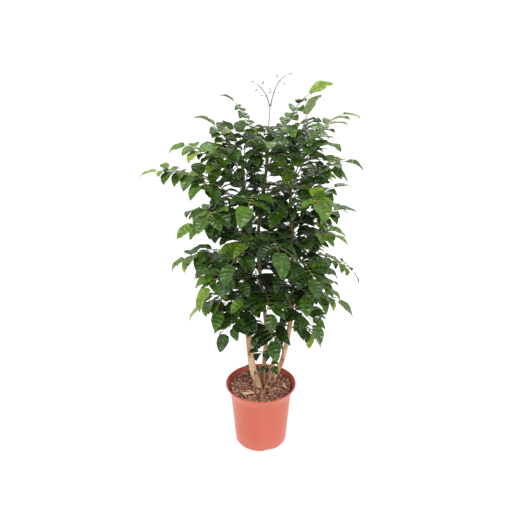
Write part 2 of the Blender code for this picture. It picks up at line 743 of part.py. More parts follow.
def stalk_stations(stalk, nodes):
    """Distances of the strip's cross lines: two round each node, and one between where the gap is long."""
    half = BASE_EDGE / 2
    marks = [] if stalk.kind in ("side stalk", "fork") else [0.0]
    for node in nodes:
        marks += [node - half, node + half]
    if stalk.line.length - max(marks, default=0.0) > 0.004:
        marks.append(stalk.line.length)
    between = []
    for low, high in zip(marks, marks[1:]):
        if low == 0.0:
            between.append(low + STUB)
        if high - low > LONG_GAP:
            between.append((low + high) / 2)
    return sorted(marks + between)


def add_stalk(sheet, stalk, base=None):
    """Adds a stalk's strip from its base edge on, then all that hangs on it."""
    kept = [entry for entry in stalk.children if grows(entry[2])]
    nodes = sorted({round(distance, 6) for distance, side, _ in kept if side})
    pairs = {}
    last = base
    if base:
        pairs[-1.0] = base
    for mark in stalk_stations(stalk, nodes):
        place, _, _, right = stalk.line.frame(mark)
        across = right * stalk.half(mark)
        thick = STALK_THICK * (1.0 - THINNING * min(mark / stalk.line.length, 1.0))
        pair = (sheet.point(place - across, thick), sheet.point(place + across, thick))
        if last:
            sheet.strip(last, pair)
        pairs[round(mark, 6)] = pair
        last = pair
    for distance, side, child in kept:
        if side == 0:
            add_child(sheet, last, child)
            continue
        low = pairs[round(round(distance, 6) - BASE_EDGE / 2, 6)]
        high = pairs[round(round(distance, 6) + BASE_EDGE / 2, 6)]
        add_child(sheet, (low[0], high[0]) if side < 0 else (high[1], low[1]), child)


def make_frond(name, stalk, parts, material):
    sheet = Sheet()
    add_stalk(sheet, stalk)
    mesh = bpy.data.meshes.new(name)
    mesh.from_pydata(sheet.points, [], sheet.faces)
    frond = new_object(name, mesh, parts, material)
    group = frond.vertex_groups.new(name="Thickness")
    for index, weight in enumerate(sheet.weights):
        group.add([index], weight, "REPLACE")
    solidify = frond.modifiers.new("Thickness", "SOLIDIFY")
    solidify.thickness = STALK_THICK
    solidify.offset = 0.0
    solidify.vertex_group = "Thickness"
    return frond


def fill_space(space):
    """Stems, pot and soil, as bodies that the fronds keep clear of."""
    for name in STEMS:
        stations = stem_stations(name, STEM_STATIONS)
        for low, high in zip(stations, stations[1:]):
            line = Line([low[:3], high[:3]], (0.0, 1.0, 0.0))
            space.add(*stalk_body(line, 0.0, max(low[3], high[3]) * 0.9 + 0.001), name)
    top = SOIL_LEVEL + 0.009
    steps = [2 * math.pi * k / 16 for k in range(16)]
    ring = [Vector((math.cos(a) * RIM_RADIUS, math.sin(a) * RIM_RADIUS, POT_HEIGHT + 0.003)) for a in steps]
    lower = [Vector((point.x, point.y, top - 0.02)) for point in ring]
    wall = []
    for k in range(16):
        m = (k + 1) % 16
        wall += [(k, m, 16 + m), (k, 16 + m, 16 + k)]
    space.add(ring + lower, wall, "pot")
    flat = [Vector((point.x, point.y, top)) for point in ring] + [Vector((0.0, 0.0, top))]
    space.add(flat, [(k, (k + 1) % 16, 16) for k in range(16)], "soil")


def main():
    clear_scene()
    parts = new_collection("china_doll_plant")
    cutters = new_collection("cutters")
    materials = {name: new_material(name) for name in COLOURS}
    make_pot(parts, cutters, materials["pot"])
    for name in STEMS:
        make_tube(name, stem_stations(name, STEM_STATIONS), parts, materials["stem"])
    make_soil(parts, cutters, materials["soil"], STEMS)
    for chip in CHIPS:
        make_chip(*chip, parts, materials["chip"])
    space = Space()
    fill_space(space)
    leaflets = []
    twig = plan_twig(space, leaflets)
    fronds = [plan_frond(row, space, leaflets) for row in FRONDS]
    kept = place_leaflets(leaflets, space)
    print(f"{kept} of {len(leaflets)} leaflets placed, {sum(f is not None for f in fronds)} fronds")
    make_frond("top_twig", twig, parts, materials["twig"])
    for number, stalk in enumerate(fronds, start=1):
        if stalk:
            make_frond(f"frond_{number:02d}", stalk, parts, materials["leaf"])


main()
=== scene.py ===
# %% [markdown]
# # A potted china doll plant
# This lesson dresses a measured model of a house plant: four woody stems in a round nursery pot, bark
# soil, and arching compound leaves with glossy, pointed leaflets. The model's plain solids say where
# everything is. Each step below models one kind of piece finely and gives it a procedural finish.
# The solids come in as a fixed frame, in metres, with +Z up and the origin under the middle of the pot.

# %% Load the frame
import json
import math
import random

import bmesh
import bpy
import numpy as np
from mathutils import Matrix, Vector, noise
from mathutils.bvhtree import BVHTree

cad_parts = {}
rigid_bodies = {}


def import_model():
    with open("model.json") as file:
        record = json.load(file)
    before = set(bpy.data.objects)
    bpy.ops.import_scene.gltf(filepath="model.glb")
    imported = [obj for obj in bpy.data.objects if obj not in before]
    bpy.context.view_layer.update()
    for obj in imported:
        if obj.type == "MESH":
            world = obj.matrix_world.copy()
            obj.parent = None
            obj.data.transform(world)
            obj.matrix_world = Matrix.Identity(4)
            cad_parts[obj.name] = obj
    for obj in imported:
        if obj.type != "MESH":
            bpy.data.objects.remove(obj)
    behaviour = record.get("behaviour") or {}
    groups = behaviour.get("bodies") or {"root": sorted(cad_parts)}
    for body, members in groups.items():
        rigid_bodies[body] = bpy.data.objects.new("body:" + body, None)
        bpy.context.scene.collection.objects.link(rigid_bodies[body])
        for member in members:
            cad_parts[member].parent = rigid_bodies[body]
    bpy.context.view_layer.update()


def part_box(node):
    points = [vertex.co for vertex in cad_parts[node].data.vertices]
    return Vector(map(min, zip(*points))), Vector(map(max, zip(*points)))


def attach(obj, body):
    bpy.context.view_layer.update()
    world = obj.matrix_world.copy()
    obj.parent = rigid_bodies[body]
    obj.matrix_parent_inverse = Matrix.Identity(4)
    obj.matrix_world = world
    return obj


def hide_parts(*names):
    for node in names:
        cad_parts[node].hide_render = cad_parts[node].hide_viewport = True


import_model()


# %% [markdown]
# ## Camera, floor and light
# A studio picture of a pot plant is taken from a little above, with the whole plant in view. The camera
# stands 1.75 m away at 1.35 m and looks down by 23 degrees. The floor is a plain pale sheet that runs out
# of the picture. Large soft lights from above, from the front left and from the right give broad
# highlights on glossy leaves and hardly any shadow, and a white sky fills the rest.

# %% Camera
CAMERA_PLACE = (0.0036, -1.75, 1.349)
CAMERA_TURN = math.radians(66.64)  # from looking straight down
bpy.ops.object.camera_add(location=CAMERA_PLACE, rotation=(CAMERA_TURN, 0, 0))
camera = bpy.context.object
camera.data.lens = 47.1
camera.data.sensor_width = 36
bpy.context.scene.camera = camera
print("camera looks down by", round(90 - math.degrees(camera.rotation_euler.x), 1), "degrees")

# %% Lights
LIGHTS = (
    # name, place, size, watts
    ("top light", (-0.5, -0.6, 3.0), 1.1, 30),
    ("front light", (-2.0, -2.4, 2.2), 1.0, 34),
    ("right light", (2.4, -1.2, 1.6), 0.8, 26),
    ("back light", (0.6, 2.6, 2.4), 1.2, 14),
)
MIDDLE_OF_PLANT = Vector((0, 0, 0.62))
SKY_STRENGTH = 0.74
for name, place, size, watts in LIGHTS:
    bpy.ops.object.light_add(type="AREA", location=place)
    light = bpy.context.object
    light.name = name
    light.data.size = size
    light.data.energy = watts
    light.rotation_euler = (MIDDLE_OF_PLANT - Vector(place)).to_track_quat("-Z", "Y").to_euler()
world = bpy.context.scene.world or bpy.data.worlds.new("white sky")
bpy.context.scene.world = world
world.use_nodes = True
sky = world.node_tree.nodes["Background"].inputs
sky["Color"].default_value = (1.0, 1.0, 1.0, 1.0)
sky["Strength"].default_value = SKY_STRENGTH
bpy.context.scene.view_settings.view_transform = "Standard"
print("lights:", len(LIGHTS))


# %% [markdown]
# ## A shorthand for finishes
# Every finish here is a Principled shader with a few nodes that vary its colour and its bumps. A small
# class keeps that readable: it makes the material, sets what is the same all over on the shader's own
# sockets, and adds nodes by name. Patterns read Object coordinates, or the piece's own map where they
# follow the surface, such as a leaf's veins.

# %% Finish
class Finish:
    """A material, with short calls that add nodes to it."""

    def __init__(self, name, **sockets):
        self.made = bpy.data.materials.new(name)
        self.made.use_nodes = True
        self.tree = self.made.node_tree
        self.shader = self.tree.nodes["Principled BSDF"]
        for socket, value in sockets.items():
            self.shader.inputs[socket.replace("_", " ")].default_value = value

    def add(self, kind, inputs, **settings):
        node = self.tree.nodes.new("ShaderNode" + kind)
        for setting, value in settings.items():
            setattr(node, setting, value)
        for key, value in inputs.items():
            if isinstance(value, bpy.types.NodeSocket):
                self.tree.links.new(value, node.inputs[key])
            else:
                node.inputs[key].default_value = value
        return node

    def maths(self, operation, a, b=0.0):
        return self.add("Math", {0: a, 1: b}, operation=operation).outputs[0]

    def times(self, a, b):
        return self.maths("MULTIPLY", a, b)

    def plus(self, a, b):
        return self.maths("ADD", a, b)

    def spread(self, value, low, high, to_low=0.0, to_high=1.0):
        """Maps a value from one range to another, held at its ends."""
        inputs = {"Value": value, "From Min": low, "From Max": high, "To Min": to_low, "To Max": to_high}
        return self.add("MapRange", inputs).outputs[0]

    def place(self, stretch=(1, 1, 1)):
        where = self.add("TexCoord", {}).outputs["Object"]
        return self.add("Mapping", {"Vector": where, "Scale": stretch}).outputs[0]

    def height(self):
        return self.add("SeparateXYZ", {0: self.place()}).outputs["Z"]

    def tone(self):
        """The shade from 0 to 1 that a piece carries at each vertex."""
        return self.add("Attribute", {}, attribute_name="tone").outputs["Fac"]

    def mottle(self, scale, detail=3.0, stretch=(1, 1, 1)):
        inputs = {"Vector": self.place(stretch), "Scale": scale, "Detail": detail}
        return self.add("TexNoise", inputs).outputs["Fac"]

    def ramp(self, value, stops):
        node = self.add("ValToRGB", {"Fac": value})
        steps = node.color_ramp.elements
        while len(steps) < len(stops):
            steps.new(0.5)
        for step, (place, colour) in zip(steps, stops):
            step.position = place
            step.color = (*colour, 1.0)
        return node.outputs["Color"]

    def blend(self, share, a, b):
        """Colour a where share is 0, b where it is 1."""
        node = self.add("Mix", {"Factor": share}, data_type="RGBA")
        for socket, value in ((node.inputs[6], a), (node.inputs[7], b)):
            if isinstance(value, bpy.types.NodeSocket):
                self.tree.links.new(value, socket)
            else:
                socket.default_value = (*value, 1.0)
        return node.outputs[2]

    def colour(self, value):
        self.tree.links.new(value, self.shader.inputs["Base Color"])

    def shades(self, value, *stops):
        self.colour(self.ramp(value, stops))

    def rough(self, value):
        self.tree.links.new(value, self.shader.inputs["Roughness"])

    def bump(self, height, distance, strength=1.0):
        node = self.add("Bump", {"Height": height, "Distance": distance, "Strength": strength})
        self.tree.links.new(node.outputs["Normal"], self.shader.inputs["Normal"])


# %% Floor
FLOOR_GLOW = 0.62  # lifts the sheet to the even pale tone of a studio
floor_finish = Finish("pale floor", Base_Color=(0.6, 0.6, 0.6, 1.0), Roughness=0.9)
floor_finish.shader.inputs["Emission Color"].default_value = (1, 1, 1, 1)
floor_finish.shader.inputs["Emission Strength"].default_value = FLOOR_GLOW
bpy.ops.mesh.primitive_plane_add(size=90, location=(0, 0, 0))
floor = bpy.context.object
floor.name = "floor"
floor.data.materials.append(floor_finish.made)
bpy.ops.object.transform_apply(location=True, rotation=True, scale=True)
print("floor laid")


# %% [markdown]
# ## Working on one piece at a time
# An operator acts on all that is selected, and the frame's solids arrive selected. So everything is
# deselected before a primitive is added or a modifier applied. A finished piece is handed over in one
# way: its place goes into its mesh, it rides on the plant's one body, and the solids that it stands for
# are hidden.

# %% Select, apply and hand over
def only(*things):
    bpy.ops.object.select_all(action="DESELECT")
    for thing in things:
        thing.select_set(True)
    bpy.context.view_layer.objects.active = things[-1]


def start_fresh():
    """Leaves nothing selected, so that a primitive comes alone."""
    only(floor)
    floor.select_set(False)


def linked(name, data):
    made = bpy.data.objects.new(name, data)
    bpy.context.scene.collection.objects.link(made)
    return made


def apply_all(thing):
    only(thing)
    for modifier in list(thing.modifiers):
        bpy.ops.object.modifier_apply(modifier=modifier.name)


def hand_over(piece, slot, *nodes):
    only(piece)
    bpy.ops.object.transform_apply(location=True, rotation=True, scale=True)
    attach(piece, "root")
    if nodes:
        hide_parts(*nodes)


def pick(thing, test):
    """Selects the vertices, in edit mode, for which test(vertex) holds."""
    mesh = bmesh.from_edit_mesh(thing.data)
    for vertex in mesh.verts:
        vertex.select = bool(test(vertex))
    mesh.select_flush(True)
    mesh.select_flush(False)
    bmesh.update_edit_mesh(thing.data)


bpy.ops.object.select_all(action="DESELECT")
print("helpers ready")


# %% [markdown]
# ## The pot
# The pot is thin moulded plastic: a nearly straight wall, a collar that flares to a rounded lip, a
# rounded foot, and shallow arches under it that let water out. A turned shape is easiest as a ring that
# is extruded and resized again and again, here from the middle of the floor inside, up the inner wall,
# over the lip and down outside. Both open ends are then merged to a point. The arches are cut with
# flattened cylinders, as in the solid, and a small bevel softens their edges.

# %% Pot profile
POT_HEIGHT = 0.200
RIM_RADIUS = 0.105
LIP_DROP = 0.0060
LIP_REACH = 0.0030
NECK_HEIGHT = 0.164
NECK_RADIUS = 0.0905
FLARE_POWER = 1.35
BASE_RADIUS = 0.0765
FOOT_ROUND = 0.010
WALL = 0.0018
SOIL_LEVEL = 0.187
FLOOR_ROUND = (0.006, 0.003)
# Each point is a step and a height: outwards from the mouth, then inwards from the rim.
LIP_INSIDE = ((0.0, 0.1975), (0.0008, 0.1992), (0.0022, 0.2000))
LIP_OUTSIDE = ((0.0010, 0.1998), (0.0, 0.1988), (0.0, 0.1962), (0.0008, 0.1949))


def wall_radius(height):
    """Outer radius: a straight taper up to the neck, then the flare of the collar."""
    if height <= NECK_HEIGHT:
        return BASE_RADIUS + (NECK_RADIUS - BASE_RADIUS) * height / NECK_HEIGHT
    share = (height - NECK_HEIGHT) / (POT_HEIGHT - LIP_DROP - NECK_HEIGHT)
    return NECK_RADIUS + (RIM_RADIUS - LIP_REACH - NECK_RADIUS) * share ** FLARE_POWER


def pot_profile():
    collar = np.linspace(NECK_HEIGHT, POT_HEIGHT - LIP_DROP, 9)
    body = np.linspace(FOOT_ROUND, NECK_HEIGHT, 7)[:-1]
    middle = wall_radius(FOOT_ROUND) - FOOT_ROUND
    inside = [(middle, WALL), (middle + FLOOR_ROUND[0], WALL + FLOOR_ROUND[1])]
    inside += [(wall_radius(z) - WALL, z) for z in list(body) + list(collar)]
    mouth = RIM_RADIUS - LIP_REACH - WALL
    lip = [(mouth + step, z) for step, z in LIP_INSIDE] + [(RIM_RADIUS - step, z) for step, z in LIP_OUTSIDE]
    outside = [(wall_radius(z), z) for z in list(collar[::-1]) + list(body[::-1])]
    turns = [math.radians(15 * k) for k in range(1, 7)]
    foot = [(middle + FOOT_ROUND * math.cos(a), FOOT_ROUND - FOOT_ROUND * math.sin(a)) for a in turns]
    return inside + lip + outside + foot


# %% Turn the pot
POT_SIDES = 96
AXIS_RADIUS = 0.003  # of the last ring before it is merged to a point


def turned_shell(name, profile, sides):
    """Extrudes a ring along a profile of (radius, height) and closes both ends at the axis."""
    start_fresh()
    radius, height = profile[0]
    bpy.ops.mesh.primitive_circle_add(vertices=sides, radius=radius, location=(0, 0, height))
    shell = bpy.context.object
    shell.name = name
    bpy.ops.object.transform_apply(location=True)
    bpy.ops.object.mode_set(mode="EDIT")
    bpy.ops.mesh.select_all(action="SELECT")
    for next_radius, next_height in profile[1:] + [(AXIS_RADIUS, profile[-1][1])]:
        rise = (0, 0, next_height - height)
        bpy.ops.mesh.extrude_region_move(TRANSFORM_OT_translate={"value": rise})
        share = next_radius / radius
        bpy.ops.transform.resize(value=(share, share, 1), center_override=(0, 0, next_height))
        radius, height = next_radius, next_height
    bpy.ops.mesh.merge(type="CENTER")
    pick(shell, lambda v: v.is_boundary)
    bpy.ops.mesh.extrude_region_move(TRANSFORM_OT_translate={"value": (0, 0, 0)})
    bpy.ops.transform.resize(value=(0.05, 0.05, 1), center_override=(0, 0, profile[0][1]))
    bpy.ops.mesh.merge(type="CENTER")
    bpy.ops.mesh.select_all(action="SELECT")
    bpy.ops.mesh.normals_make_consistent(inside=False)
    bpy.ops.object.mode_set(mode="OBJECT")
    return shell


pot = turned_shell("turned_pot", pot_profile(), POT_SIDES)
print("pot:", len(pot.data.polygons), "faces")

# %% Cut the foot arches
ARCH_COUNT = 5
ARCH_FIRST = math.radians(-72)
ARCH_HALF_WIDTH = 0.0195
ARCH_HEIGHT = 0.0088
for k in range(ARCH_COUNT):
    angle = ARCH_FIRST + k * 2 * math.pi / ARCH_COUNT
    bpy.ops.mesh.primitive_cylinder_add(
        vertices=32, radius=1, depth=0.030, scale=(ARCH_HEIGHT, ARCH_HALF_WIDTH, 1),
        location=(BASE_RADIUS * math.cos(angle), BASE_RADIUS * math.sin(angle), 0),
        rotation=(0, math.pi / 2, angle))
    arch = bpy.context.object
    opening = pot.modifiers.new("Arch", "BOOLEAN")
    opening.object = arch
    apply_all(pot)
    bpy.data.objects.remove(arch, do_unlink=True)
worn = pot.modifiers.new("Worn edges", "BEVEL")
worn.width = 0.0005
worn.segments = 2
worn.angle_limit = math.radians(45)
apply_all(pot)
only(pot)
bpy.ops.object.shade_smooth_by_angle(angle=math.radians(38))
print("pot with arches:", len(pot.data.polygons), "faces")

# %% [markdown]
# ### Satin plastic
# The plastic is terracotta-coloured all through, with a satin skin. Up close it isn't even: a faint
# cloudiness from moulding, fine grain that breaks up the highlight, pale water marks that run down, and
# dust that makes the foot a little paler.

# %% Pot finish
plastic = Finish("terracotta plastic", Roughness=0.36, Specular_IOR_Level=0.38)
PLASTIC_SHADES = ((0.3, (0.508, 0.107, 0.062)), (0.7, (0.572, 0.130, 0.077)))
shade = plastic.ramp(plastic.mottle(9, 4), PLASTIC_SHADES)
dust = plastic.times(plastic.spread(plastic.height(), 0.05, 0.0, 0.0, 0.35), plastic.mottle(38, 5))
dusty = plastic.blend(dust, shade, (0.56, 0.26, 0.20))
streak = plastic.spread(plastic.mottle(26, 4, (1, 1, 0.12)), 0.56, 0.74, 0.0, 0.22)
plastic.colour(plastic.blend(streak, dusty, (0.56, 0.185, 0.130)))
plastic.rough(plastic.spread(plastic.mottle(55, 3), 0.3, 0.7, 0.30, 0.44))
plastic.bump(plastic.mottle(900, 2), 0.00005, 0.5)
pot.data.materials.append(plastic.made)
hand_over(pot, "pot", "pot")
print("pot finished")


# %% [markdown]
# ## Lines, stems and tubes
# Stems and stalks are round and bend gently, so each is a curve with a round bevel, turned into a mesh.
# A stem is given as a few points with a radius each. A smooth curve through them is read at any height,
# and a line that knows its own length answers where a leaf stalk starts and which way it faces.

# %% Stem points
STEMS = {
    "left_stem": (
        (-0.005, -0.006, 0.133, 0.0114), (-0.005, -0.006, 0.176, 0.0114), (-0.012, -0.004, 0.206, 0.0112),
        (-0.025, 0.000, 0.253, 0.0107), (-0.031, 0.001, 0.310, 0.0101), (-0.037, 0.000, 0.388, 0.0095),
        (-0.043, 0.004, 0.500, 0.0083), (-0.042, 0.002, 0.620, 0.0070), (-0.049, -0.003, 0.740, 0.0057),
        (-0.046, 0.003, 0.830, 0.0046), (-0.050, 0.001, 0.888, 0.0038),
    ),
    "centre_stem": (
        (0.006, 0.023, 0.133, 0.0066), (0.006, 0.023, 0.170, 0.0066), (0.008, 0.022, 0.220, 0.0066),
        (0.012, 0.021, 0.290, 0.0065), (0.016, 0.018, 0.360, 0.0063), (0.008, 0.006, 0.470, 0.0054),
        (-0.003, -0.010, 0.580, 0.0051), (-0.006, -0.018, 0.690, 0.0047), (0.008, -0.008, 0.800, 0.0042),
        (0.018, 0.000, 0.890, 0.0035), (0.019, 0.000, 0.945, 0.0029),
    ),
    "right_stem": (
        (0.0155, -0.011, 0.133, 0.0082), (0.0155, -0.011, 0.176, 0.0082), (0.028, -0.010, 0.205, 0.0081),
        (0.050, -0.010, 0.250, 0.0079), (0.065, -0.010, 0.290, 0.0076), (0.083, -0.010, 0.390, 0.0069),
        (0.090, -0.012, 0.500, 0.0061), (0.087, -0.008, 0.620, 0.0053), (0.081, -0.002, 0.740, 0.0045),
        (0.080, 0.002, 0.830, 0.0040), (0.086, 0.000, 0.900, 0.0033),
    ),
    "back_stem": (
        (0.021, 0.038, 0.133, 0.0062), (0.021, 0.038, 0.170, 0.0062), (0.028, 0.038, 0.210, 0.0060),
        (0.039, 0.038, 0.250, 0.0058), (0.059, 0.042, 0.330, 0.0055), (0.086, 0.055, 0.440, 0.0050),
        (0.103, 0.072, 0.560, 0.0045), (0.112, 0.083, 0.660, 0.0040), (0.118, 0.088, 0.735, 0.0033),
    ),
}
STEM_STATIONS = 13


# %% Smooth lines
def smooth_line(points, steps):
    """A Catmull-Rom curve through the points, of any dimension."""
    knots = np.array(points, dtype=float)
    ends = np.vstack([2 * knots[0] - knots[1], knots, 2 * knots[-1] - knots[-2]])
    made = []
    for k in range(len(knots) - 1):
        a, b, c, d = ends[k:k + 4]
        for t in np.linspace(0.0, 1.0, steps, endpoint=False):
            bent = (2 * a - 5 * b + 4 * c - d) * t ** 2 + (3 * b - a - 3 * c + d) * t ** 3
            made.append(0.5 * (2 * b + (c - a) * t + bent))
    made.append(knots[-1])
    return np.array(made)


class Line:
    """A polyline measured along its length, with the direction that its upper side faces."""

    def __init__(self, points, upper):
        self.points = np.array(points, dtype=float)
        steps = np.linalg.norm(np.diff(self.points, axis=0), axis=1)
        self.marks = np.concatenate([[0.0], np.cumsum(steps)])
        self.length = float(self.marks[-1])
        self.upper = Vector(upper)

    def at(self, distance):
        return Vector([float(np.interp(distance, self.marks, self.points[:, k])) for k in range(3)])

    def frame(self, distance):
        """Place, heading, normal and right-hand side."""
        ahead = self.at(min(distance + 0.003, self.length))
        heading = (ahead - self.at(max(distance - 0.003, 0.0))).normalized()
        normal = (self.upper - heading * self.upper.dot(heading)).normalized()
        return self.at(distance), heading, normal, heading.cross(normal)


def arc(start, control, end, steps=14):
    made = []
    for t in np.linspace(0.0, 1.0, steps):
        made.append(start * (1 - t) ** 2 + control * (2 * t * (1 - t)) + end * t ** 2)
    return made


# %% Read a stem
def stem_stations(name, count):
    """Evenly spread (x, y, z, radius) stations, the first three close together in the soil."""
    fine = smooth_line(STEMS[name], 8)
    low, top = fine[0][2], fine[-1][2]
    heights = [low, low + 0.037] + list(np.linspace(low + 0.062, top, count - 2))
    return [[float(np.interp(z, fine[:, 2], fine[:, k])) for k in (0, 1, 2, 3)] for z in heights]


def on_stem(name, height):
    """Centre, radius and direction of a stem at a height."""
    stations = np.array(stem_stations(name, STEM_STATIONS))
    low, here, high = [
        np.array([np.interp(z, stations[:, 2], stations[:, k]) for k in range(4)])
        for z in (height - 0.004, height, height + 0.004)
    ]
    return Vector(here[:3]), float(here[3]), Vector(high[:3] - low[:3]).normalized()


print("left stem at 0.5 m:", [round(x, 3) for x in on_stem("left_stem", 0.5)[0]])


# %% Tubes from curves
def tubes(name, runs, sides_step):
    """One mesh of round, capped tubes. Each run is a list of (x, y, z, radius)."""
    curve = bpy.data.curves.new(name, "CURVE")
    curve.dimensions = "3D"
    curve.bevel_depth = 1.0
    curve.bevel_resolution = sides_step
    curve.use_fill_caps = True
    for run in runs:
        spline = curve.splines.new("POLY")
        spline.points.add(len(run) - 1)
        for point, (x, y, z, radius) in zip(spline.points, run):
            point.co = (x, y, z, 1.0)
            point.radius = radius
    only(linked(name, curve))
    bpy.ops.object.convert(target="MESH")
    made = bpy.context.object
    bpy.ops.object.mode_set(mode="EDIT")
    bpy.ops.mesh.select_all(action="SELECT")
    bpy.ops.mesh.remove_doubles(threshold=0.00001)
    bpy.ops.object.mode_set(mode="OBJECT")
    bpy.ops.object.shade_smooth_by_angle(angle=math.radians(60))
    return made


# %% [markdown]
# ## The woody stems
# The stems are thin-barked and tan, knobbly where old leaves fell, with raised rings a few centimetres
# apart and many small pale pores. The tube is read at many heights so that the rings can be modelled: its
# radius swells in a narrow band at each old joint, and slow noise makes it slightly out of round. The bark
# darkens to a greenish brown further up.

# %% Bark relief
RING_STEP = 0.043
RING_HALF = 0.0035
FIRST_RING = 0.19
RING_SHIFT = 0.011  # from one stem to the next
BETWEEN_RINGS = 0.985  # of the solid stem's radius
RING_RISE = 0.075
SLOW_BUMPS = 0.00045
FINE_BUMPS = 0.0002


def ring_swell(height, first):
    """How much a stem swells at a height, from 0 between joints to 1 on a joint."""
    away = (height - first) % RING_STEP
    away = min(away, RING_STEP - away)
    return math.exp(-(away / RING_HALF) ** 2)


def fine_stem(name, first):
    run = []
    for x, y, z, radius in smooth_line(STEMS[name], 16):
        run.append((x, y, z, radius * (BETWEEN_RINGS + RING_RISE * ring_swell(z, first))))
    stem = tubes("bark_" + name, [run], 8)
    for vertex in stem.data.vertices:
        place = vertex.co * 55
        place.z *= 0.4
        bumps = SLOW_BUMPS * noise.noise(place) + FINE_BUMPS * noise.noise(vertex.co * 260)
        vertex.co += vertex.normal * bumps
    return stem


stems = {name: fine_stem(name, FIRST_RING + RING_SHIFT * k) for k, name in enumerate(STEMS)}
print("stem faces:", {name: len(stem.data.polygons) for name, stem in stems.items()})

# %% Bark finish
bark = Finish("thin tan bark", Roughness=0.72, Specular_IOR_Level=0.3)
grain = bark.mottle(70, 6, (1, 1, 0.16))
patches = bark.mottle(24, 3, (1, 1, 0.5))
BARK_SHADES = ((0.36, (0.19, 0.094, 0.050)), (0.46, (0.49, 0.285, 0.165)), (0.60, (0.76, 0.500, 0.325)))
tan = bark.ramp(bark.plus(bark.times(grain, 0.6), bark.times(patches, 0.4)), BARK_SHADES)
pores = bark.add("TexVoronoi", {"Vector": bark.place((1, 1, 0.55)), "Scale": 260.0}).outputs["Distance"]
pore = bark.spread(pores, 0.16, 0.26, 1.0, 0.0)
spotted = bark.blend(bark.times(pore, 0.5), tan, (0.66, 0.47, 0.32))
young = bark.spread(bark.height(), 0.40, 0.75, 0.0, 0.82)
wavy = {"Vector": bark.place(), "Scale": 34.0, "Distortion": 9.0, "Detail": 3.0, "Detail Scale": 1.6}
bands = bark.add("TexWave", wavy, bands_direction="Z").outputs["Fac"]
ringed = bark.blend(bark.spread(bands, 0.62, 0.92, 0.0, 0.55), spotted, (0.33, 0.165, 0.085))
bark.colour(bark.blend(young, ringed, (0.120, 0.095, 0.042)))
relief = bark.plus(bark.times(grain, 0.7), bark.times(pore, 0.4))
relief = bark.plus(relief, bark.times(bands, 0.35))
bark.bump(relief, 0.0012, 0.9)
for name, stem in stems.items():
    stem.data.materials.append(bark.made)
    hand_over(stem, "stem", name)
print("bark finished")


# %% [markdown]
# ### Leaf scars
# Where a leaf stalk has dropped off, a dished oval pad with a raised rim is left. Two large dark ones sit
# low on the right stem, and small ones face each other at the rings. One pad is modelled from a short
# cylinder whose top is inset and sunk, and copies of it are turned to lie on the bark.

# %% Model one scar
start_fresh()
bpy.ops.mesh.primitive_cylinder_add(vertices=10, radius=1, depth=0.5, location=(0, 0, 0))
scar = bpy.context.object
scar.name = "scar_master"
bpy.ops.object.mode_set(mode="EDIT")
bpy.ops.mesh.select_all(action="DESELECT")
pick(scar, lambda v: v.co.z > 0.2)
bpy.ops.transform.resize(value=(0.75, 0.75, 1), center_override=(0, 0, 0.25))
bpy.ops.mesh.inset(thickness=0.22, depth=-0.16)
bpy.ops.object.mode_set(mode="OBJECT")
print("scar:", len(scar.data.polygons), "faces")

# %% Set the scars on the stems
SCARS = [
    # stem, height, side towards which it faces, in degrees from +X, length
    ("right_stem", 0.2040, -112, 0.0088), ("right_stem", 0.2215, -106, 0.0082),
    ("right_stem", 0.288, -84, 0.0072), ("left_stem", 0.238, -70, 0.0050),
    ("left_stem", 0.300, -110, 0.0046), ("centre_stem", 0.268, -90, 0.0044),
]
RING_SCAR = 0.0030
SCAR_WIDTH = 0.72  # of its length
SCAR_RISE = 0.0016
draw = random.Random(5)
for k, (name, points) in enumerate(STEMS.items()):
    for number in range(1, 14):
        height = FIRST_RING + RING_SHIFT * k + RING_STEP * number
        if height < points[-1][2] - 0.03:
            facing = 90 * (number % 2) + 35 * k + draw.uniform(-12, 12)
            SCARS += [(name, height, facing + half, RING_SCAR) for half in (0, 180)]
pads = []
for name, height, facing, size in SCARS:
    centre, radius, along = on_stem(name, height)
    out = Vector((math.cos(math.radians(facing)), math.sin(math.radians(facing)), 0))
    out = (out - along * out.dot(along)).normalized()
    side = along.cross(out)
    reach = min(size, radius * 1.1)
    turn = Matrix((side * reach * SCAR_WIDTH, along * reach, out * SCAR_RISE)).transposed().to_4x4()
    pads.append(linked("pad", scar.data.copy()))
    pads[-1].data.transform(Matrix.Translation(centre + out * radius) @ turn)
only(*pads)
bpy.ops.object.join()
scars = bpy.context.object
scars.name = "leaf_scars"
bpy.data.objects.remove(scar, do_unlink=True)
corky = Finish("corky scar", Roughness=0.85)
corky.shades(corky.mottle(300, 4), (0.35, (0.085, 0.038, 0.024)), (0.65, (0.27, 0.150, 0.090)))
scars.data.materials.append(corky.made)
hand_over(scars, "stem")
print("scars set:", len(pads))


# %% [markdown]
# ## The soil
# The pot is filled nearly to the lip with a coarse bark mix. Its body is a turned shell, like the pot,
# whose top is pushed into lumps, and it is sunk a little at the wall, which leaves the dark line that a
# watered pot shows. Over it lie well over a thousand crumbs of bark. Three crumbs are modelled by slicing
# flakes off a rough ball, and each copy gets its own size, turn and shade.

# %% Soil body
LUMP = 0.0022


def soil_height(x, y):
    """Lumps by formula, dying out towards the wall."""
    edge = max(0.0, 1.0 - (math.hypot(x, y) / wall_radius(SOIL_LEVEL)) ** 4)
    waves = math.sin(131 * x + 1.3) * math.cos(117 * y - 0.6) + 0.6 * math.sin(247 * x - 201 * y)
    return SOIL_LEVEL + edge * (0.0025 + LUMP * waves / 1.6)


def soil_profile():
    top = [(radius, SOIL_LEVEL) for radius in np.linspace(0.004, 0.091, 21)]
    side = [(wall_radius(z) - WALL - 0.0012, z) for z in (SOIL_LEVEL - 0.003, 0.177, NECK_HEIGHT, 0.013)]
    return (top + side + [(0.058, WALL + 0.0003)])[::-1]


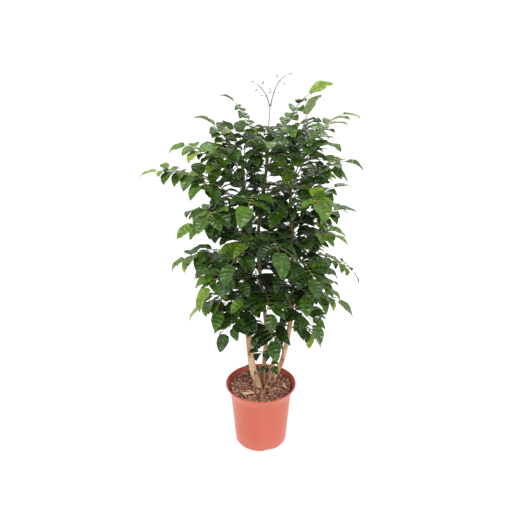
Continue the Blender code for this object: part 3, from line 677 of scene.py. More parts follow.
soil = turned_shell("bark_mix", soil_profile(), 72)
for vertex in soil.data.vertices:
    x, y, z = vertex.co
    if z > SOIL_LEVEL - 0.001:
        vertex.co.z = soil_height(x, y) + 0.0012 * noise.noise(Vector((x, y, 0)) * 420) - 0.0006
loam = Finish("damp bark mix", Roughness=0.95, Specular_IOR_Level=0.2)
loam.shades(loam.mottle(420, 6), (0.36, (0.050, 0.021, 0.014)), (0.64, (0.290, 0.120, 0.080)))
loam.bump(loam.mottle(700, 4), 0.0012)
soil.data.materials.append(loam.made)
hand_over(soil, "soil", "soil")
print("soil:", len(soil.data.polygons), "faces")


# %% Model three crumbs
def sliced_crumb(name, cuts):
    """A rough ball with flat cuts, each given as (normal, distance from the middle)."""
    start_fresh()
    bpy.ops.mesh.primitive_ico_sphere_add(subdivisions=1, radius=1, location=(0, 0, 0))
    crumb = bpy.context.object
    crumb.name = name
    bpy.ops.object.mode_set(mode="EDIT")
    for normal, distance in cuts:
        bpy.ops.mesh.select_all(action="SELECT")
        point = tuple(Vector(normal).normalized() * distance)
        bpy.ops.mesh.bisect(plane_co=point, plane_no=normal, use_fill=True, clear_outer=True)
    bpy.ops.mesh.select_all(action="SELECT")
    bpy.ops.mesh.quads_convert_to_tris()
    bpy.ops.object.mode_set(mode="OBJECT")
    return crumb


CRUMBS = [
    sliced_crumb("crumb_flat", (((0, 0, 1), 0.35), ((0, 0, -1), 0.3), ((1, 0.4, 0.2), 0.6))),
    sliced_crumb("crumb_block", (((0, 1, 0.2), 0.45), ((0.3, -1, 0), 0.4), ((1, 0, 0.4), 0.5))),
    sliced_crumb("crumb_splinter", (((0, 1, 0.1), 0.22), ((0, -1, 0.3), 0.2), ((0, 0.2, 1), 0.25))),
]
print("crumb faces:", [len(crumb.data.polygons) for crumb in CRUMBS])


# %% Merge many copies into one piece
def corners_of(mesh):
    flat = np.empty(len(mesh.vertices) * 3)
    mesh.vertices.foreach_get("co", flat)
    return flat.reshape(-1, 3)


def faces_of(mesh):
    return [tuple(face.vertices) for face in mesh.polygons]


def gathered(name, parts):
    """One mesh from (corner places, faces, tone) parts. A finish reads the tone as a shade."""
    places, faces, tones, start = [], [], [], 0
    for corners, its_faces, tone in parts:
        places.append(corners)
        faces += [tuple(start + k for k in face) for face in its_faces]
        tones += [tone] * len(corners)
        start += len(corners)
    mesh = bpy.data.meshes.new(name)
    mesh.from_pydata(np.vstack(places).tolist(), [], faces)
    layer = mesh.attributes.new("tone", "FLOAT", "POINT")
    layer.data.foreach_set("value", np.asarray(tones, dtype=np.float32))
    return linked(name, mesh)


# %% Scatter the crumbs
CRUMB_COUNT = 1700
BED_RADIUS = 0.0920
NEAR_WALL = 0.088
CHIP_BOXES = [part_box("wood_chip_left"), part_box("wood_chip_right")]


def in_the_way(x, y):
    """True inside a stem and under a wood chip."""
    for points in STEMS.values():
        foot_x, foot_y, _, radius = points[1]
        if math.hypot(x - foot_x, y - foot_y) < radius:
            return True
    return any(low.x - 0.001 < x < high.x + 0.001 and low.y - 0.001 < y < high.y + 0.001
               for low, high in CHIP_BOXES)


draw = random.Random(21)
parts = []
while len(parts) < CRUMB_COUNT:
    away = BED_RADIUS * math.sqrt(draw.random())
    angle = draw.uniform(0, 2 * math.pi)
    x, y = away * math.cos(angle), away * math.sin(angle)
    if in_the_way(x, y):
        continue
    crumb = draw.choice(CRUMBS)
    size = 0.0016 + 0.0032 * draw.random() ** 2.2
    if away > NEAR_WALL:
        size *= 0.6
    turn = Matrix.Rotation(draw.uniform(0, 6.3), 3, "Z") @ Matrix.Rotation(draw.uniform(-0.5, 0.5), 3, "X")
    stretch = Matrix.Diagonal((size * draw.uniform(1.0, 1.7), size, size * 0.75))
    corners = corners_of(crumb.data) @ np.array(turn @ stretch).T
    corners += np.array((x, y, soil_height(x, y) + size * 0.25))
    parts.append((corners, faces_of(crumb.data), draw.random()))
crumbs = gathered("bark_crumbs", parts)
for crumb in CRUMBS:
    bpy.data.objects.remove(crumb, do_unlink=True)
chip_bark = Finish("bark crumbs", Roughness=0.85, Specular_IOR_Level=0.3)
CRUMB_SHADES = (
    (0.0, (0.090, 0.034, 0.024)), (0.28, (0.340, 0.132, 0.088)), (0.70, (0.600, 0.275, 0.195)),
    (0.88, (0.76, 0.430, 0.300)), (1.0, (0.92, 0.68, 0.50)))
flecks = chip_bark.ramp(chip_bark.mottle(600, 4), ((0.3, (0.35, 0.35, 0.35)), (0.7, (1.0, 1.0, 1.0))))
darker = chip_bark.add("Mix", {"Factor": 0.6}, data_type="RGBA", blend_type="MULTIPLY")
chip_bark.tree.links.new(chip_bark.ramp(chip_bark.tone(), CRUMB_SHADES), darker.inputs[6])
chip_bark.tree.links.new(flecks, darker.inputs[7])
chip_bark.colour(darker.outputs[2])
chip_bark.bump(chip_bark.mottle(900, 3), 0.0004)
crumbs.data.materials.append(chip_bark.made)
hand_over(crumbs, "soil")
print("crumbs:", CRUMB_COUNT, "faces:", len(crumbs.data.polygons))

# %% [markdown]
# ### Two wood chips
# Two pale flakes of split wood lie on the bark. Each is a flat block that is subdivided, frayed at its
# ends and roughened along its grain, in the place of its plain solid.

# %% Wood chips
CHIPS = (
    # node, turn in degrees, length, width, thickness
    ("wood_chip_left", 12, 0.036, 0.0135, 0.0030), ("wood_chip_right", 115, 0.020, 0.007, 0.0026))
splinter = Finish("split wood", Roughness=0.8)
fibres = splinter.mottle(160, 5, (0.25, 1, 1))
splinter.shades(fibres, (0.35, (0.42, 0.230, 0.130)), (0.6, (0.80, 0.55, 0.37)))
splinter.bump(fibres, 0.0010)
for name, turn, length, width, thick in CHIPS:
    low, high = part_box(name)
    start_fresh()
    bpy.ops.mesh.primitive_cube_add(size=1, location=(0, 0, 0), scale=(length, width, thick))
    chip = bpy.context.object
    chip.name = "split_" + name
    bpy.ops.object.transform_apply(location=False, rotation=False, scale=True)
    bpy.ops.object.mode_set(mode="EDIT")
    bpy.ops.mesh.select_all(action="SELECT")
    bpy.ops.mesh.subdivide(number_cuts=5)
    bpy.ops.object.mode_set(mode="OBJECT")
    for vertex in chip.data.vertices:
        x, y, z = vertex.co
        fray = 0.35 * abs(noise.noise(Vector((y * 900, z * 300, turn)))) * abs(2 * x / length) ** 6
        narrowing = 0.4 * max(0, x / length + 0.1)
        thinning = 0.5 * abs(2 * y / width) ** 3
        vertex.co.x = x * (1 - fray)
        vertex.co.y = y * (1 - narrowing) + 0.0008 * noise.noise(Vector((x * 200, 0, turn)))
        vertex.co.z = z * (1 - thinning) + 0.0005 * noise.noise(Vector((x * 240, y * 700, 3)))
    chip.data.transform(Matrix.Rotation(math.radians(turn), 4, "Z"))
    chip.data.transform(Matrix.Translation((low + high) / 2 + Vector((0, 0, 0.0006))))
    only(chip)
    bpy.ops.object.shade_smooth_by_angle(angle=math.radians(40))
    chip.data.materials.append(splinter.made)
    hand_over(chip, "wood_chip", name)
print("wood chips:", len(CHIPS))


# %% [markdown]
# ## Planning the crown
# A china doll plant's leaf is compound: a long arching stalk carries pairs of side stalks and leaflets.
# The plan gives each such leaf a stem, a height, a tip and a kind, and hangs its leaflets on it. A leaflet
# is turned a little at a time until it crosses nothing that is already there, which is how the solids
# were placed, so the same plan with the same seed puts the fine leaves exactly where the solids are.

# %% Table of the large leaves
FRONDS = (
    ("left_stem", 0.922, (-0.165, 0.020, 0.975), "plain", 0.03),
    ("left_stem", 0.895, (-0.140, -0.120, 0.930), "plain", 0.04),
    ("left_stem", 0.865, (-0.250, 0.040, 0.905), "plain", 0.04),
    ("left_stem", 0.815, (-0.325, -0.020, 0.845), "full", 0.05),
    ("left_stem", 0.840, (-0.150, 0.190, 0.860), "full", 0.06),
    ("left_stem", 0.780, (-0.160, -0.210, 0.760), "full", 0.06),
    ("left_stem", 0.730, (-0.215, -0.090, 0.705), "plain", 0.06),
    ("left_stem", 0.705, (-0.220, 0.140, 0.690), "full", 0.06),
    ("left_stem", 0.640, (-0.260, 0.000, 0.575), "full", 0.06),
    ("left_stem", 0.610, (-0.160, -0.190, 0.560), "full", 0.07),
    ("left_stem", 0.575, (-0.180, 0.190, 0.520), "full", 0.07),
    ("left_stem", 0.510, (-0.210, -0.050, 0.445), "full", 0.06),
    ("left_stem", 0.480, (-0.110, -0.170, 0.410), "plain", 0.05),
    ("left_stem", 0.450, (-0.140, 0.110, 0.390), "plain", 0.05),
    ("centre_stem", 0.935, (-0.100, -0.010, 1.040), "small", 0.02),
    ("centre_stem", 0.915, (0.172, 0.000, 1.060), "plain", 0.03),
    ("centre_stem", 0.890, (0.020, -0.190, 0.945), "full", 0.06),
    ("centre_stem", 0.865, (0.030, 0.220, 0.920), "plain", 0.06),
    ("centre_stem", 0.815, (-0.040, -0.240, 0.795), "full", 0.07),
    ("centre_stem", 0.760, (0.050, 0.260, 0.740), "full", 0.07),
    ("centre_stem", 0.715, (0.060, -0.240, 0.680), "full", 0.07),
    ("centre_stem", 0.690, (-0.090, -0.230, 0.640), "plain", 0.07),
    ("centre_stem", 0.625, (0.010, 0.250, 0.585), "full", 0.07),
    ("centre_stem", 0.560, (0.030, -0.230, 0.500), "full", 0.07),
    ("centre_stem", 0.480, (0.000, 0.210, 0.430), "plain", 0.06),
    ("centre_stem", 0.440, (0.040, -0.160, 0.380), "plain", 0.05),
    ("right_stem", 0.890, (0.242, -0.125, 1.026), "plain", 0.02),
    ("right_stem", 0.865, (0.200, -0.120, 0.945), "plain", 0.04),
    ("right_stem", 0.845, (0.170, 0.170, 0.930), "full", 0.05),
    ("right_stem", 0.805, (0.270, -0.030, 0.875), "full", 0.05),
    ("right_stem", 0.770, (0.160, -0.220, 0.800), "full", 0.06),
    ("right_stem", 0.735, (0.245, 0.040, 0.790), "plain", 0.05),
    ("right_stem", 0.690, (0.230, -0.090, 0.680), "full", 0.05),
    ("right_stem", 0.640, (0.150, -0.220, 0.600), "full", 0.06),
    ("right_stem", 0.560, (0.225, -0.090, 0.525), "full", 0.05),
    ("right_stem", 0.500, (0.160, -0.170, 0.440), "plain", 0.05),
    ("right_stem", 0.440, (0.172, -0.045, 0.352), "small", 0.03),
    ("back_stem", 0.765, (0.200, 0.220, 0.800), "plain", 0.05),
    ("back_stem", 0.700, (0.255, 0.110, 0.690), "plain", 0.05),
    ("back_stem", 0.625, (0.285, 0.030, 0.530), "fine", 0.04),
    ("back_stem", 0.580, (0.170, 0.240, 0.550), "full", 0.06),
    ("back_stem", 0.500, (0.265, 0.050, 0.410), "plain", 0.05),
    ("back_stem", 0.450, (0.150, 0.190, 0.410), "plain", 0.05),
    ("centre_stem", 0.335, (-0.010, -0.075, 0.330), "sprout", 0.01),
    ("centre_stem", 0.300, (0.046, -0.040, 0.260), "sprout", 0.01),
    ("centre_stem", 0.245, (-0.045, 0.065, 0.215), "sprout", 0.01),
    ("right_stem", 0.930, (0.145, -0.045, 1.035), "plain", 0.02),
)
KINDS = {
    # size of the terminal leaflet, marks of the side stalks, marks of the leaflets
    "full": (0.066, (0.40,), (0.62, 0.82)),
    "plain": (0.062, (), (0.36, 0.55, 0.75)),
    "small": (0.044, (), (0.40, 0.60, 0.80)),
    "fine": (0.038, (), (0.34, 0.48, 0.62, 0.76, 0.89)),
    "sprout": (0.034, (), (0.60,)),
    "side stalk": (0.058, (), (0.52,)),
    "fork": (0.0105, (), (0.40, 0.78)),
    "inner": (0.050, (), (0.34, 0.56, 0.80)),
    "shoot": (0.038, (), (0.45, 0.75)),
}
print("large leaves planned:", len(FRONDS))

# %% Sizes of the stalks and leaflets
SIDE_LEAFLET = 0.94  # of the terminal leaflet
SIDE_STALK_LENGTH = 0.062
WIDTH_OF_LENGTH = 0.66
PETIOLULE = 0.008
STUB = 0.006
LEAF_SPREAD = math.radians(63)
STALK_SPREAD = math.radians(56)
BEND = math.radians(30)
FOLD = 0.16
SIZE_RANGE = (0.74, 1.14)
DROOP = (0.12, 0.22)  # middle and most to either side
FACING = (0.45, 0.8, 0.22)  # shares of the stalk's upper side, straight up and outward
LOW_ROW = (0.16, 0.88)  # along the blade and across it
WIDE_ROW = 0.53
CROWN_OF_ARCH = 0.45  # where along a frond its arch is controlled
FOOT_LOWER = 0.045  # a frond leaves its stem this far below its level, and rises
STALK_HALF = (0.0019, 0.0011)
BASE_EDGE = 0.0034
TWIG_FORK = (0.024, -0.001, 1.025)
TWIG_LEFT = ((0.016, -0.001, 1.060), (-0.009, -0.001, 1.078))
TWIG_RIGHT = ((0.036, -0.001, 1.086), (0.062, -0.001, 1.098))
LEAF_CLEAR = 0.0017
STALK_CLEAR = 0.0024
SEED = 11
GAP = 0.0003  # between pieces that touch
CROWN_MIDDLE = 0.02  # the crown stands this far to the right of the pot's axis
UP = Vector((0.0, 0.0, 1.0))


# %% Stalks and leaflets as plans
class Stalk:
    def __init__(self, line, kind, taper=(0.0, 1.0)):
        self.line = line
        self.kind = kind
        self.taper = taper
        self.children = []  # (distance, side, child): side is -1 left, 1 right, 0 at the end

    def half(self, distance):
        share = self.taper[0] + (self.taper[1] - self.taper[0]) * distance / self.line.length
        return STALK_HALF[0] + (STALK_HALF[1] - STALK_HALF[0]) * share


class Leaflet:
    def __init__(self, stalk, distance, side, length, rank):
        self.stalk = stalk
        self.distance = distance
        self.side = side
        self.length = length
        self.rank = rank
        self.placed = False

    def aim(self, droop, yaw, roll, size, outward):
        """Sets the leaflet's base, heading and normal."""
        place, heading, normal, right = self.stalk.line.frame(self.distance)
        spread = (LEAF_SPREAD + yaw) * self.side if self.side else yaw
        self.base = place + right * (self.side * self.stalk.half(self.distance))
        level = heading * math.cos(spread) + right * math.sin(spread)
        self.heading = (level - UP * droop).normalized()
        facing = (normal * FACING[0] + UP * FACING[1] + outward * FACING[2]).normalized()
        flat = (facing - self.heading * facing.dot(self.heading)).normalized()
        self.normal = Matrix.Rotation(roll, 3, self.heading) @ flat
        self.right = self.heading.cross(self.normal)
        self.reach = self.length * size

    def spot(self, along, across, off=0.0):
        """A point of the blade: along it from 0 to 1, across it from -1 to 1, and off its face."""
        angle = BEND * max(along, 1e-3)
        forward = PETIOLULE + self.reach * max(along, 1e-3) * math.sin(angle) / angle
        drop = self.reach * max(along, 1e-3) * (1 - math.cos(angle)) / angle
        half = self.reach * WIDTH_OF_LENGTH / 2 * outline(along)
        lift = abs(across) * half * FOLD - drop + off
        return self.base + self.heading * forward + self.right * (across * half) + self.normal * lift

    def corners(self, off=0.0):
        """The six free corners of the coarse blade: two low, three across the middle, the tip."""
        along, across = LOW_ROW
        low = [self.spot(along, -across, off), self.spot(along, across, off)]
        wide = [self.spot(WIDE_ROW, side, off) for side in (-1, 0, 1)]
        return low + wide + [self.spot(1.0, 0, off)]


def outline(along):
    """Half width of an ovate leaflet, as a share of its greatest."""
    return math.sin(math.pi * min(along, 1.0) ** 0.7) ** 0.75 if along < 1.0 else 0.0


# %% [markdown]
# ### Keeping leaves apart
# Each leaflet is tested as a thin closed slab, a little thicker than the leaf, and each stalk as a square
# tube. A tree of triangles answers quickly whether two such bodies cross.

# %% Test bodies
BLADE_FACES = ((0, 1, 3), (0, 3, 2), (1, 4, 3), (2, 3, 5), (3, 4, 5))
BLADE_RIM = ((0, 1), (1, 4), (4, 5), (5, 2), (2, 0))
HEEL_START = 0.002
HEEL_HALF = 0.0017
HEEL_THICK = 0.0010


def slab(upper, lower, faces, rim):
    """A closed body between two like sheets."""
    count = len(upper)
    made = [tuple(face) for face in faces]
    made += [tuple(count + corner for corner in reversed(face)) for face in faces]
    for a, b in rim:
        made += [(a, a + count, b + count), (a, b + count, b)]
    return upper + lower, made


def leaflet_body(leaflet):
    return slab(leaflet.corners(LEAF_CLEAR), leaflet.corners(-LEAF_CLEAR), BLADE_FACES, BLADE_RIM)


def leaflet_whole(leaflet):
    """The blade with most of the narrow part between it and the stalk."""
    points, faces = leaflet_body(leaflet)
    heel = leaflet.base + leaflet.heading * HEEL_START
    across = leaflet.right * HEEL_HALF
    up = leaflet.normal * HEEL_THICK
    first = len(points)
    points += [heel - across + up, heel + across + up, heel - across - up, heel + across - up]
    faces += [(first, first + 1, 1), (first, 1, 0), (first + 2, 6, 7), (first + 2, 7, first + 3)]
    return points, faces


def stalk_body(line, start, clear):
    """A square tube round a stalk, from a distance along it."""
    points, faces = [], []
    for k, stop in enumerate(np.linspace(start, line.length, 6)):
        place, _, normal, right = line.frame(float(stop))
        points += [place + (right * a + normal * b) * clear for a, b in ((-1, -1), (1, -1), (1, 1), (-1, 1))]
        if k:
            for a in range(4):
                b = (a + 1) % 4
                low, high = 4 * (k - 1), 4 * k
                faces += [(low + a, low + b, high + b), (low + a, high + b, high + a)]
    return points, faces


class Space:
    """What is already placed, for testing what comes next."""

    def __init__(self):
        self.trees = []
        self.owners = []
        self.middles = np.zeros((0, 3))
        self.reaches = np.zeros(0)

    def add(self, points, faces, owner):
        middle = sum(points, Vector()) / len(points)
        self.trees.append(BVHTree.FromPolygons(points, faces, all_triangles=True))
        self.owners.append(owner)
        self.middles = np.vstack([self.middles, np.array(middle)])
        self.reaches = np.append(self.reaches, max((point - middle).length for point in points))

    def free(self, points, faces, besides=()):
        """True if the body crosses nothing, apart from what belongs to the owners in besides."""
        middle = sum(points, Vector()) / len(points)
        reach = max((point - middle).length for point in points)
        apart = np.linalg.norm(self.middles - np.array(middle), axis=1)
        near = np.nonzero(apart < self.reaches + reach)[0]
        if not len(near):
            return True
        tree = BVHTree.FromPolygons(points, faces, all_triangles=True)
        return not any(self.owners[k] not in besides and tree.overlap(self.trees[k]) for k in near)


# %% Aim the large leaves
def outward_from_axis(place):
    """Level direction away from the middle of the crown."""
    away = Vector((place.x - CROWN_MIDDLE, place.y, 0.0))
    return away.normalized() if away.length > 0.02 else Vector((0.0, -1.0, 0.0))


def frond_line(stem, height, tip, rise, turn):
    """The arch of a frond's main stalk: off the stem at a right angle, up, over and down to its tip."""
    centre, radius, along = on_stem(stem, height - FOOT_LOWER)
    goal = Matrix.Rotation(turn, 3, "Z") @ (Vector(tip) - centre) + centre
    out = goal - centre
    out = (out - along * out.dot(along)).normalized()
    foot = centre + out * (radius + GAP)
    knee = foot + out * STUB
    control = knee.lerp(goal, CROWN_OF_ARCH)
    control.z = max(knee.z, goal.z) + rise
    return Line([foot] + arc(knee, control, goal), UP)


def shortened(line, length):
    """The same line, ended at a length."""
    stops = [mark for mark in line.marks if mark < length - 0.002] + [length]
    return Line([line.at(stop) for stop in stops], line.upper)


def add_pairs(stalk, kind, leaflets, space, rank=0):
    """Hangs the kind's leaflets and side stalks on a stalk."""
    size, stalk_marks, leaflet_marks = KINDS[kind]
    for share in stalk_marks + leaflet_marks:
        distance = share * stalk.line.length
        for side in (-1, 1):
            if share in leaflet_marks:
                child = Leaflet(stalk, distance, side, size * SIDE_LEAFLET * (1.08 - 0.15 * share), rank + 1)
                leaflets.append(child)
            else:
                child = side_stalk(stalk, distance, side, leaflets, space)
            if child:
                stalk.children.append((distance, side, child))
    last = Leaflet(stalk, stalk.line.length, 0, size, rank)
    leaflets.append(last)
    stalk.children.append((stalk.line.length, 0, last))


SIDE_STALK_TRIES = ((0.25, 0), (0.0, 0), (0.5, 0), (0.2, -0.25), (0.2, 0.25), (0.5, 0.3), (-0.2, 0.2))


def side_stalk(parent, distance, side, leaflets, space):
    """A side stalk with leaflets of its own, aimed where it is free, or nothing."""
    place, heading, normal, right = parent.line.frame(distance)
    base = place + right * (side * parent.half(distance))
    for droop, turn in SIDE_STALK_TRIES:
        spread = (STALK_SPREAD + turn) * side
        level = heading * math.cos(spread) + right * math.sin(spread)
        near = base + level * (SIDE_STALK_LENGTH * 0.5)
        far = base + (level - UP * droop) * SIDE_STALK_LENGTH
        line = Line(arc(base, near, far, 6), normal)
        body = stalk_body(line, 0.003, STALK_CLEAR)
        if space.free(*body, (id(parent.line),)):
            space.add(*body, id(line))
            made = Stalk(line, "side stalk", (0.5, 1.0))
            add_pairs(made, "side stalk", leaflets, space, 1)
            return made
    return None


FROND_TRIES = ((0, 0), (0.1, 0), (-0.1, 0), (0, 0.02), (0.2, 0.01), (-0.2, 0.01), (0.3, 0), (-0.3, 0))


def plan_frond(row, space, leaflets):
    """The main stalk of one frond, aimed where it is free, with all that hangs on it."""
    stem, height, tip, kind, rise = row
    for turn, more in FROND_TRIES:
        whole = frond_line(stem, height, tip, rise + more, turn)
        line = shortened(whole, whole.length - KINDS[kind][0] * 0.95)
        body = stalk_body(line, 0.006, STALK_CLEAR)
        if space.free(*body):
            space.add(*body, id(line))
            stalk = Stalk(line, kind)
            add_pairs(stalk, kind, leaflets, space)
            return stalk
    return None


def plan_twig(space, leaflets):
    """The thin fork on top: an upright stalk with two branches near its end."""
    centre, _, along = on_stem("centre_stem", STEMS["centre_stem"][-1][2])
    foot = centre + along * GAP
    front = (0.0, -1.0, 0.0)
    line = Line([foot, foot.lerp(Vector(TWIG_FORK), 0.5), Vector(TWIG_FORK)], front)
    space.add(*stalk_body(line, 0.004, STALK_CLEAR), id(line))
    twig = Stalk(line, "twig", (0.6, 1.0))
    for side, (control, end) in ((-1, TWIG_LEFT), (1, TWIG_RIGHT)):
        distance = line.length - BASE_EDGE / 2
        place, _, _, right = line.frame(distance)
        base = place + right * (side * twig.half(distance))
        branch_line = Line(arc(base, Vector(control), Vector(end), 6), front)
        space.add(*stalk_body(branch_line, 0.004, STALK_CLEAR), id(branch_line))
        branch = Stalk(branch_line, "fork", (0.9, 1.0))
        add_pairs(branch, "fork", leaflets, space, 1)
        twig.children.append((distance, side, branch))
    return twig


# %% Turn the leaflets until they are free
MAIN_TRIES = sorted(
    (abs(droop) + abs(yaw) * 1.5 + abs(roll), droop, yaw, roll)
    for droop in (-0.45, -0.2, 0.0, 0.25, 0.5)
    for yaw in (0.0, 0.2, 0.4)
    for roll in (-0.5, -0.25, 0.0, 0.25, 0.5)
)
FEW_TRIES = [row for row in MAIN_TRIES if row[2] != 0.4 and abs(row[3]) != 0.25]


def place_leaflets(leaflets, space, seed, tries, sizes):
    """Turns each leaflet, main ones first, until it crosses nothing. One that fits nowhere is left off."""
    leaflets.sort(key=lambda leaflet: leaflet.rank)
    draw = random.Random(seed)
    for leaflet in leaflets:
        droop = DROOP[0] + draw.uniform(-DROOP[1], DROOP[1])
        habit = (droop, draw.uniform(-0.10, 0.12), draw.uniform(-0.25, 0.25))
        size = draw.uniform(*SIZE_RANGE)
        outward = outward_from_axis(leaflet.stalk.line.at(leaflet.distance))
        for share in sizes:
            if leaflet.placed:
                break
            for _, more, yaw, roll in tries:
                leaflet.aim(habit[0] + more, habit[1] + yaw, habit[2] + roll, size * share, outward)
                whole = leaflet_whole(leaflet)
                if space.free(*whole, (id(leaflet.stalk.line),)) and space.free(*leaflet_body(leaflet)):
                    space.add(*whole, id(leaflet))
                    leaflet.placed = True
                    break
    return sum(leaflet.placed for leaflet in leaflets)


def fill_space(space):
    """Stems, pot and soil, as bodies that the fronds keep clear of."""
    for name in STEMS:
        stations = stem_stations(name, STEM_STATIONS)
        for low, high in zip(stations, stations[1:]):
            line = Line([low[:3], high[:3]], (0.0, 1.0, 0.0))
            space.add(*stalk_body(line, 0.0, max(low[3], high[3]) * 0.9 + 0.001), name)
    top = SOIL_LEVEL + 0.009
    sides = 16
    steps = [2 * math.pi * k / sides for k in range(sides)]
    over = POT_HEIGHT + 0.003
    ring = [Vector((math.cos(a) * RIM_RADIUS, math.sin(a) * RIM_RADIUS, over)) for a in steps]
    lower = [Vector((point.x, point.y, top - 0.02)) for point in ring]
    wall = []
    for k in range(sides):
        m = (k + 1) % sides
        wall += [(k, m, sides + m), (k, sides + m, sides + k)]
    space.add(ring + lower, wall, "pot")
    flat = [Vector((point.x, point.y, top)) for point in ring] + [Vector((0.0, 0.0, top))]
    space.add(flat, [(k, (k + 1) % sides, sides) for k in range(sides)], "soil")


# %% [markdown]
# ### Filling the crown
# The solids hold the large leaflets. The real plant has many smaller ones between them and short young
# leaves close to the stems, which close the crown. They are planned in a second round: extra pairs on
# every stalk, and short inner leaves all round each stem. Each is tried in a few directions, and one that
# finds no free place is left off.

# %% Plan the whole crown
space = Space()
fill_space(space)
leaflets = []
twig = plan_twig(space, leaflets)
fronds = [plan_frond(row, space, leaflets) for row in FRONDS]
kept = place_leaflets(leaflets, space, SEED, MAIN_TRIES, (1.0, 0.85, 0.7))
print("leaflets placed as in the solids:", kept, "of", len(leaflets))


# %% Young leaves in the gaps
YOUNG_TIPS = {
    # stem, height and tip (x, y, z) of each leaf
    "inner": (
        ("right_stem", 0.905, 0.110, -0.080, 0.990), ("right_stem", 0.880, 0.190, -0.010, 1.000),
        ("right_stem", 0.895, 0.065, -0.070, 0.985), ("centre_stem", 0.930, 0.090, 0.040, 0.995),
        ("centre_stem", 0.940, -0.035, -0.090, 0.970), ("centre_stem", 0.890, 0.035, 0.110, 0.930),
        ("left_stem", 0.915, -0.095, -0.060, 0.985), ("left_stem", 0.905, -0.070, 0.090, 0.950),
        ("left_stem", 0.900, -0.030, -0.095, 0.945), ("left_stem", 0.900, -0.150, -0.040, 0.960),
        ("centre_stem", 0.915, 0.012, -0.075, 0.935), ("centre_stem", 0.825, 0.000, -0.085, 0.850),
        ("centre_stem", 0.745, -0.010, -0.090, 0.770), ("centre_stem", 0.615, -0.005, -0.090, 0.640),
        ("right_stem", 0.875, 0.082, -0.105, 0.900), ("right_stem", 0.810, 0.076, -0.110, 0.840),
        ("right_stem", 0.700, 0.084, -0.110, 0.735), ("right_stem", 0.530, 0.078, -0.110, 0.560),
        ("left_stem", 0.850, -0.040, -0.090, 0.875), ("left_stem", 0.800, -0.055, -0.085, 0.830),
        ("centre_stem", 0.690, -0.020, -0.045, 0.715), ("centre_stem", 0.545, -0.020, -0.050, 0.570),
        ("right_stem", 0.665, 0.120, -0.010, 0.692), ("right_stem", 0.690, 0.100, 0.050, 0.705),
        ("left_stem", 0.490, -0.088, -0.015, 0.510), ("left_stem", 0.680, -0.010, -0.030, 0.700),
    ),
    "shoot": (
        ("centre_stem", 0.420, -0.018, -0.030, 0.350), ("centre_stem", 0.430, 0.052, -0.035, 0.345),
        ("centre_stem", 0.390, 0.020, -0.050, 0.305), ("left_stem", 0.430, -0.078, 0.020, 0.350),
        ("back_stem", 0.400, 0.030, 0.020, 0.330), ("left_stem", 0.460, -0.020, -0.060, 0.390),
    ),
}
YOUNG_RISE = {"inner": 0.02, "shoot": 0.01}

# %% Extra pairs and inner leaves
EXTRA_MARKS = {
    "full": (0.26, 0.52, 0.72, 0.91), "plain": (0.24, 0.46, 0.65, 0.86), "small": (0.50, 0.70, 0.90),
    "side stalk": (0.28, 0.76), "sprout": (0.85,),
}
EXTRA_SIZE = {"full": 0.056, "plain": 0.054, "small": 0.034, "side stalk": 0.048, "sprout": 0.022}


def stalks_of(stalk):
    found = [stalk]
    for _, _, child in stalk.children:
        if isinstance(child, Stalk):
            found += stalks_of(child)
    return found


def leaflets_of(stalk):
    """Placed leaflets of a stalk and of the stalks on it."""
    found = []
    for _, _, child in stalk.children:
        if isinstance(child, Stalk):
            found += leaflets_of(child)
        elif child.placed:
            found.append(child)
    return found


def add_extras(stalk):
    made = []
    for share in EXTRA_MARKS.get(stalk.kind, ()):
        for side in (-1, 1):
            distance = share * stalk.line.length
            leaf = Leaflet(stalk, distance, side, EXTRA_SIZE[stalk.kind] * (1.1 - 0.3 * share), 5)
            stalk.children.append((distance, side, leaf))
            made.append(leaf)
    return made


INNER_STEP = 0.033
GOLDEN_ANGLE = 2.4


def inner_rows():
    """Short leaves round the stems: a golden-angle spiral up each one."""
    rows = []
    draw = random.Random(8)
    for k, name in enumerate(STEMS):
        low = 0.47 if name != "back_stem" else 0.52
        top = STEMS[name][-1][2] - 0.01
        for number, height in enumerate(np.arange(low, top, INNER_STEP)):
            angle = GOLDEN_ANGLE * number + 1.1 * k
            reach = draw.uniform(0.105, 0.15)
            centre = on_stem(name, height)[0]
            x, y = centre.x + reach * math.cos(angle), centre.y + reach * math.sin(angle)
            tip = (x, y, height + draw.uniform(-0.03, 0.03))
            rows.append((name, float(height), tip, "inner", YOUNG_RISE["inner"]))
    for kind, leaves in YOUNG_TIPS.items():
        rows += [(name, height, tip, kind, YOUNG_RISE[kind]) for name, height, *tip in leaves]
    return rows


extras = []
for frond in fronds:
    for stalk in stalks_of(frond):
        extras += add_extras(stalk)
inner_leaflets = []
inner = [plan_frond(row, space, inner_leaflets) for row in inner_rows()]
filled = place_leaflets(inner_leaflets, space, SEED + 1, FEW_TRIES, (1.0, 0.75))
filled += place_leaflets(extras, space, SEED + 2, FEW_TRIES, (1.0, 0.72))
inner = [stalk for stalk in inner if stalk and leaflets_of(stalk)]
print("smaller leaflets added:", filled, "of", len(extras) + len(inner_leaflets), "inner leaves:", len(inner))


# %% [markdown]
# ## One leaflet
# A leaflet is oval with a heart-shaped foot and a long drip tip, folded a little along its midrib. Its
# side veins are sunk, and the blade swells between them, so that light runs over it in short streaks.
# A flat grid is the start. Its rows are resized to the outline, its outer columns are moved forward so
# that the rows follow the veins, and every other row is lowered. Solidify makes it a closed body whose
# lower face takes the paler finish. Three such leaflets, flat, waved and cupped, are enough for all.

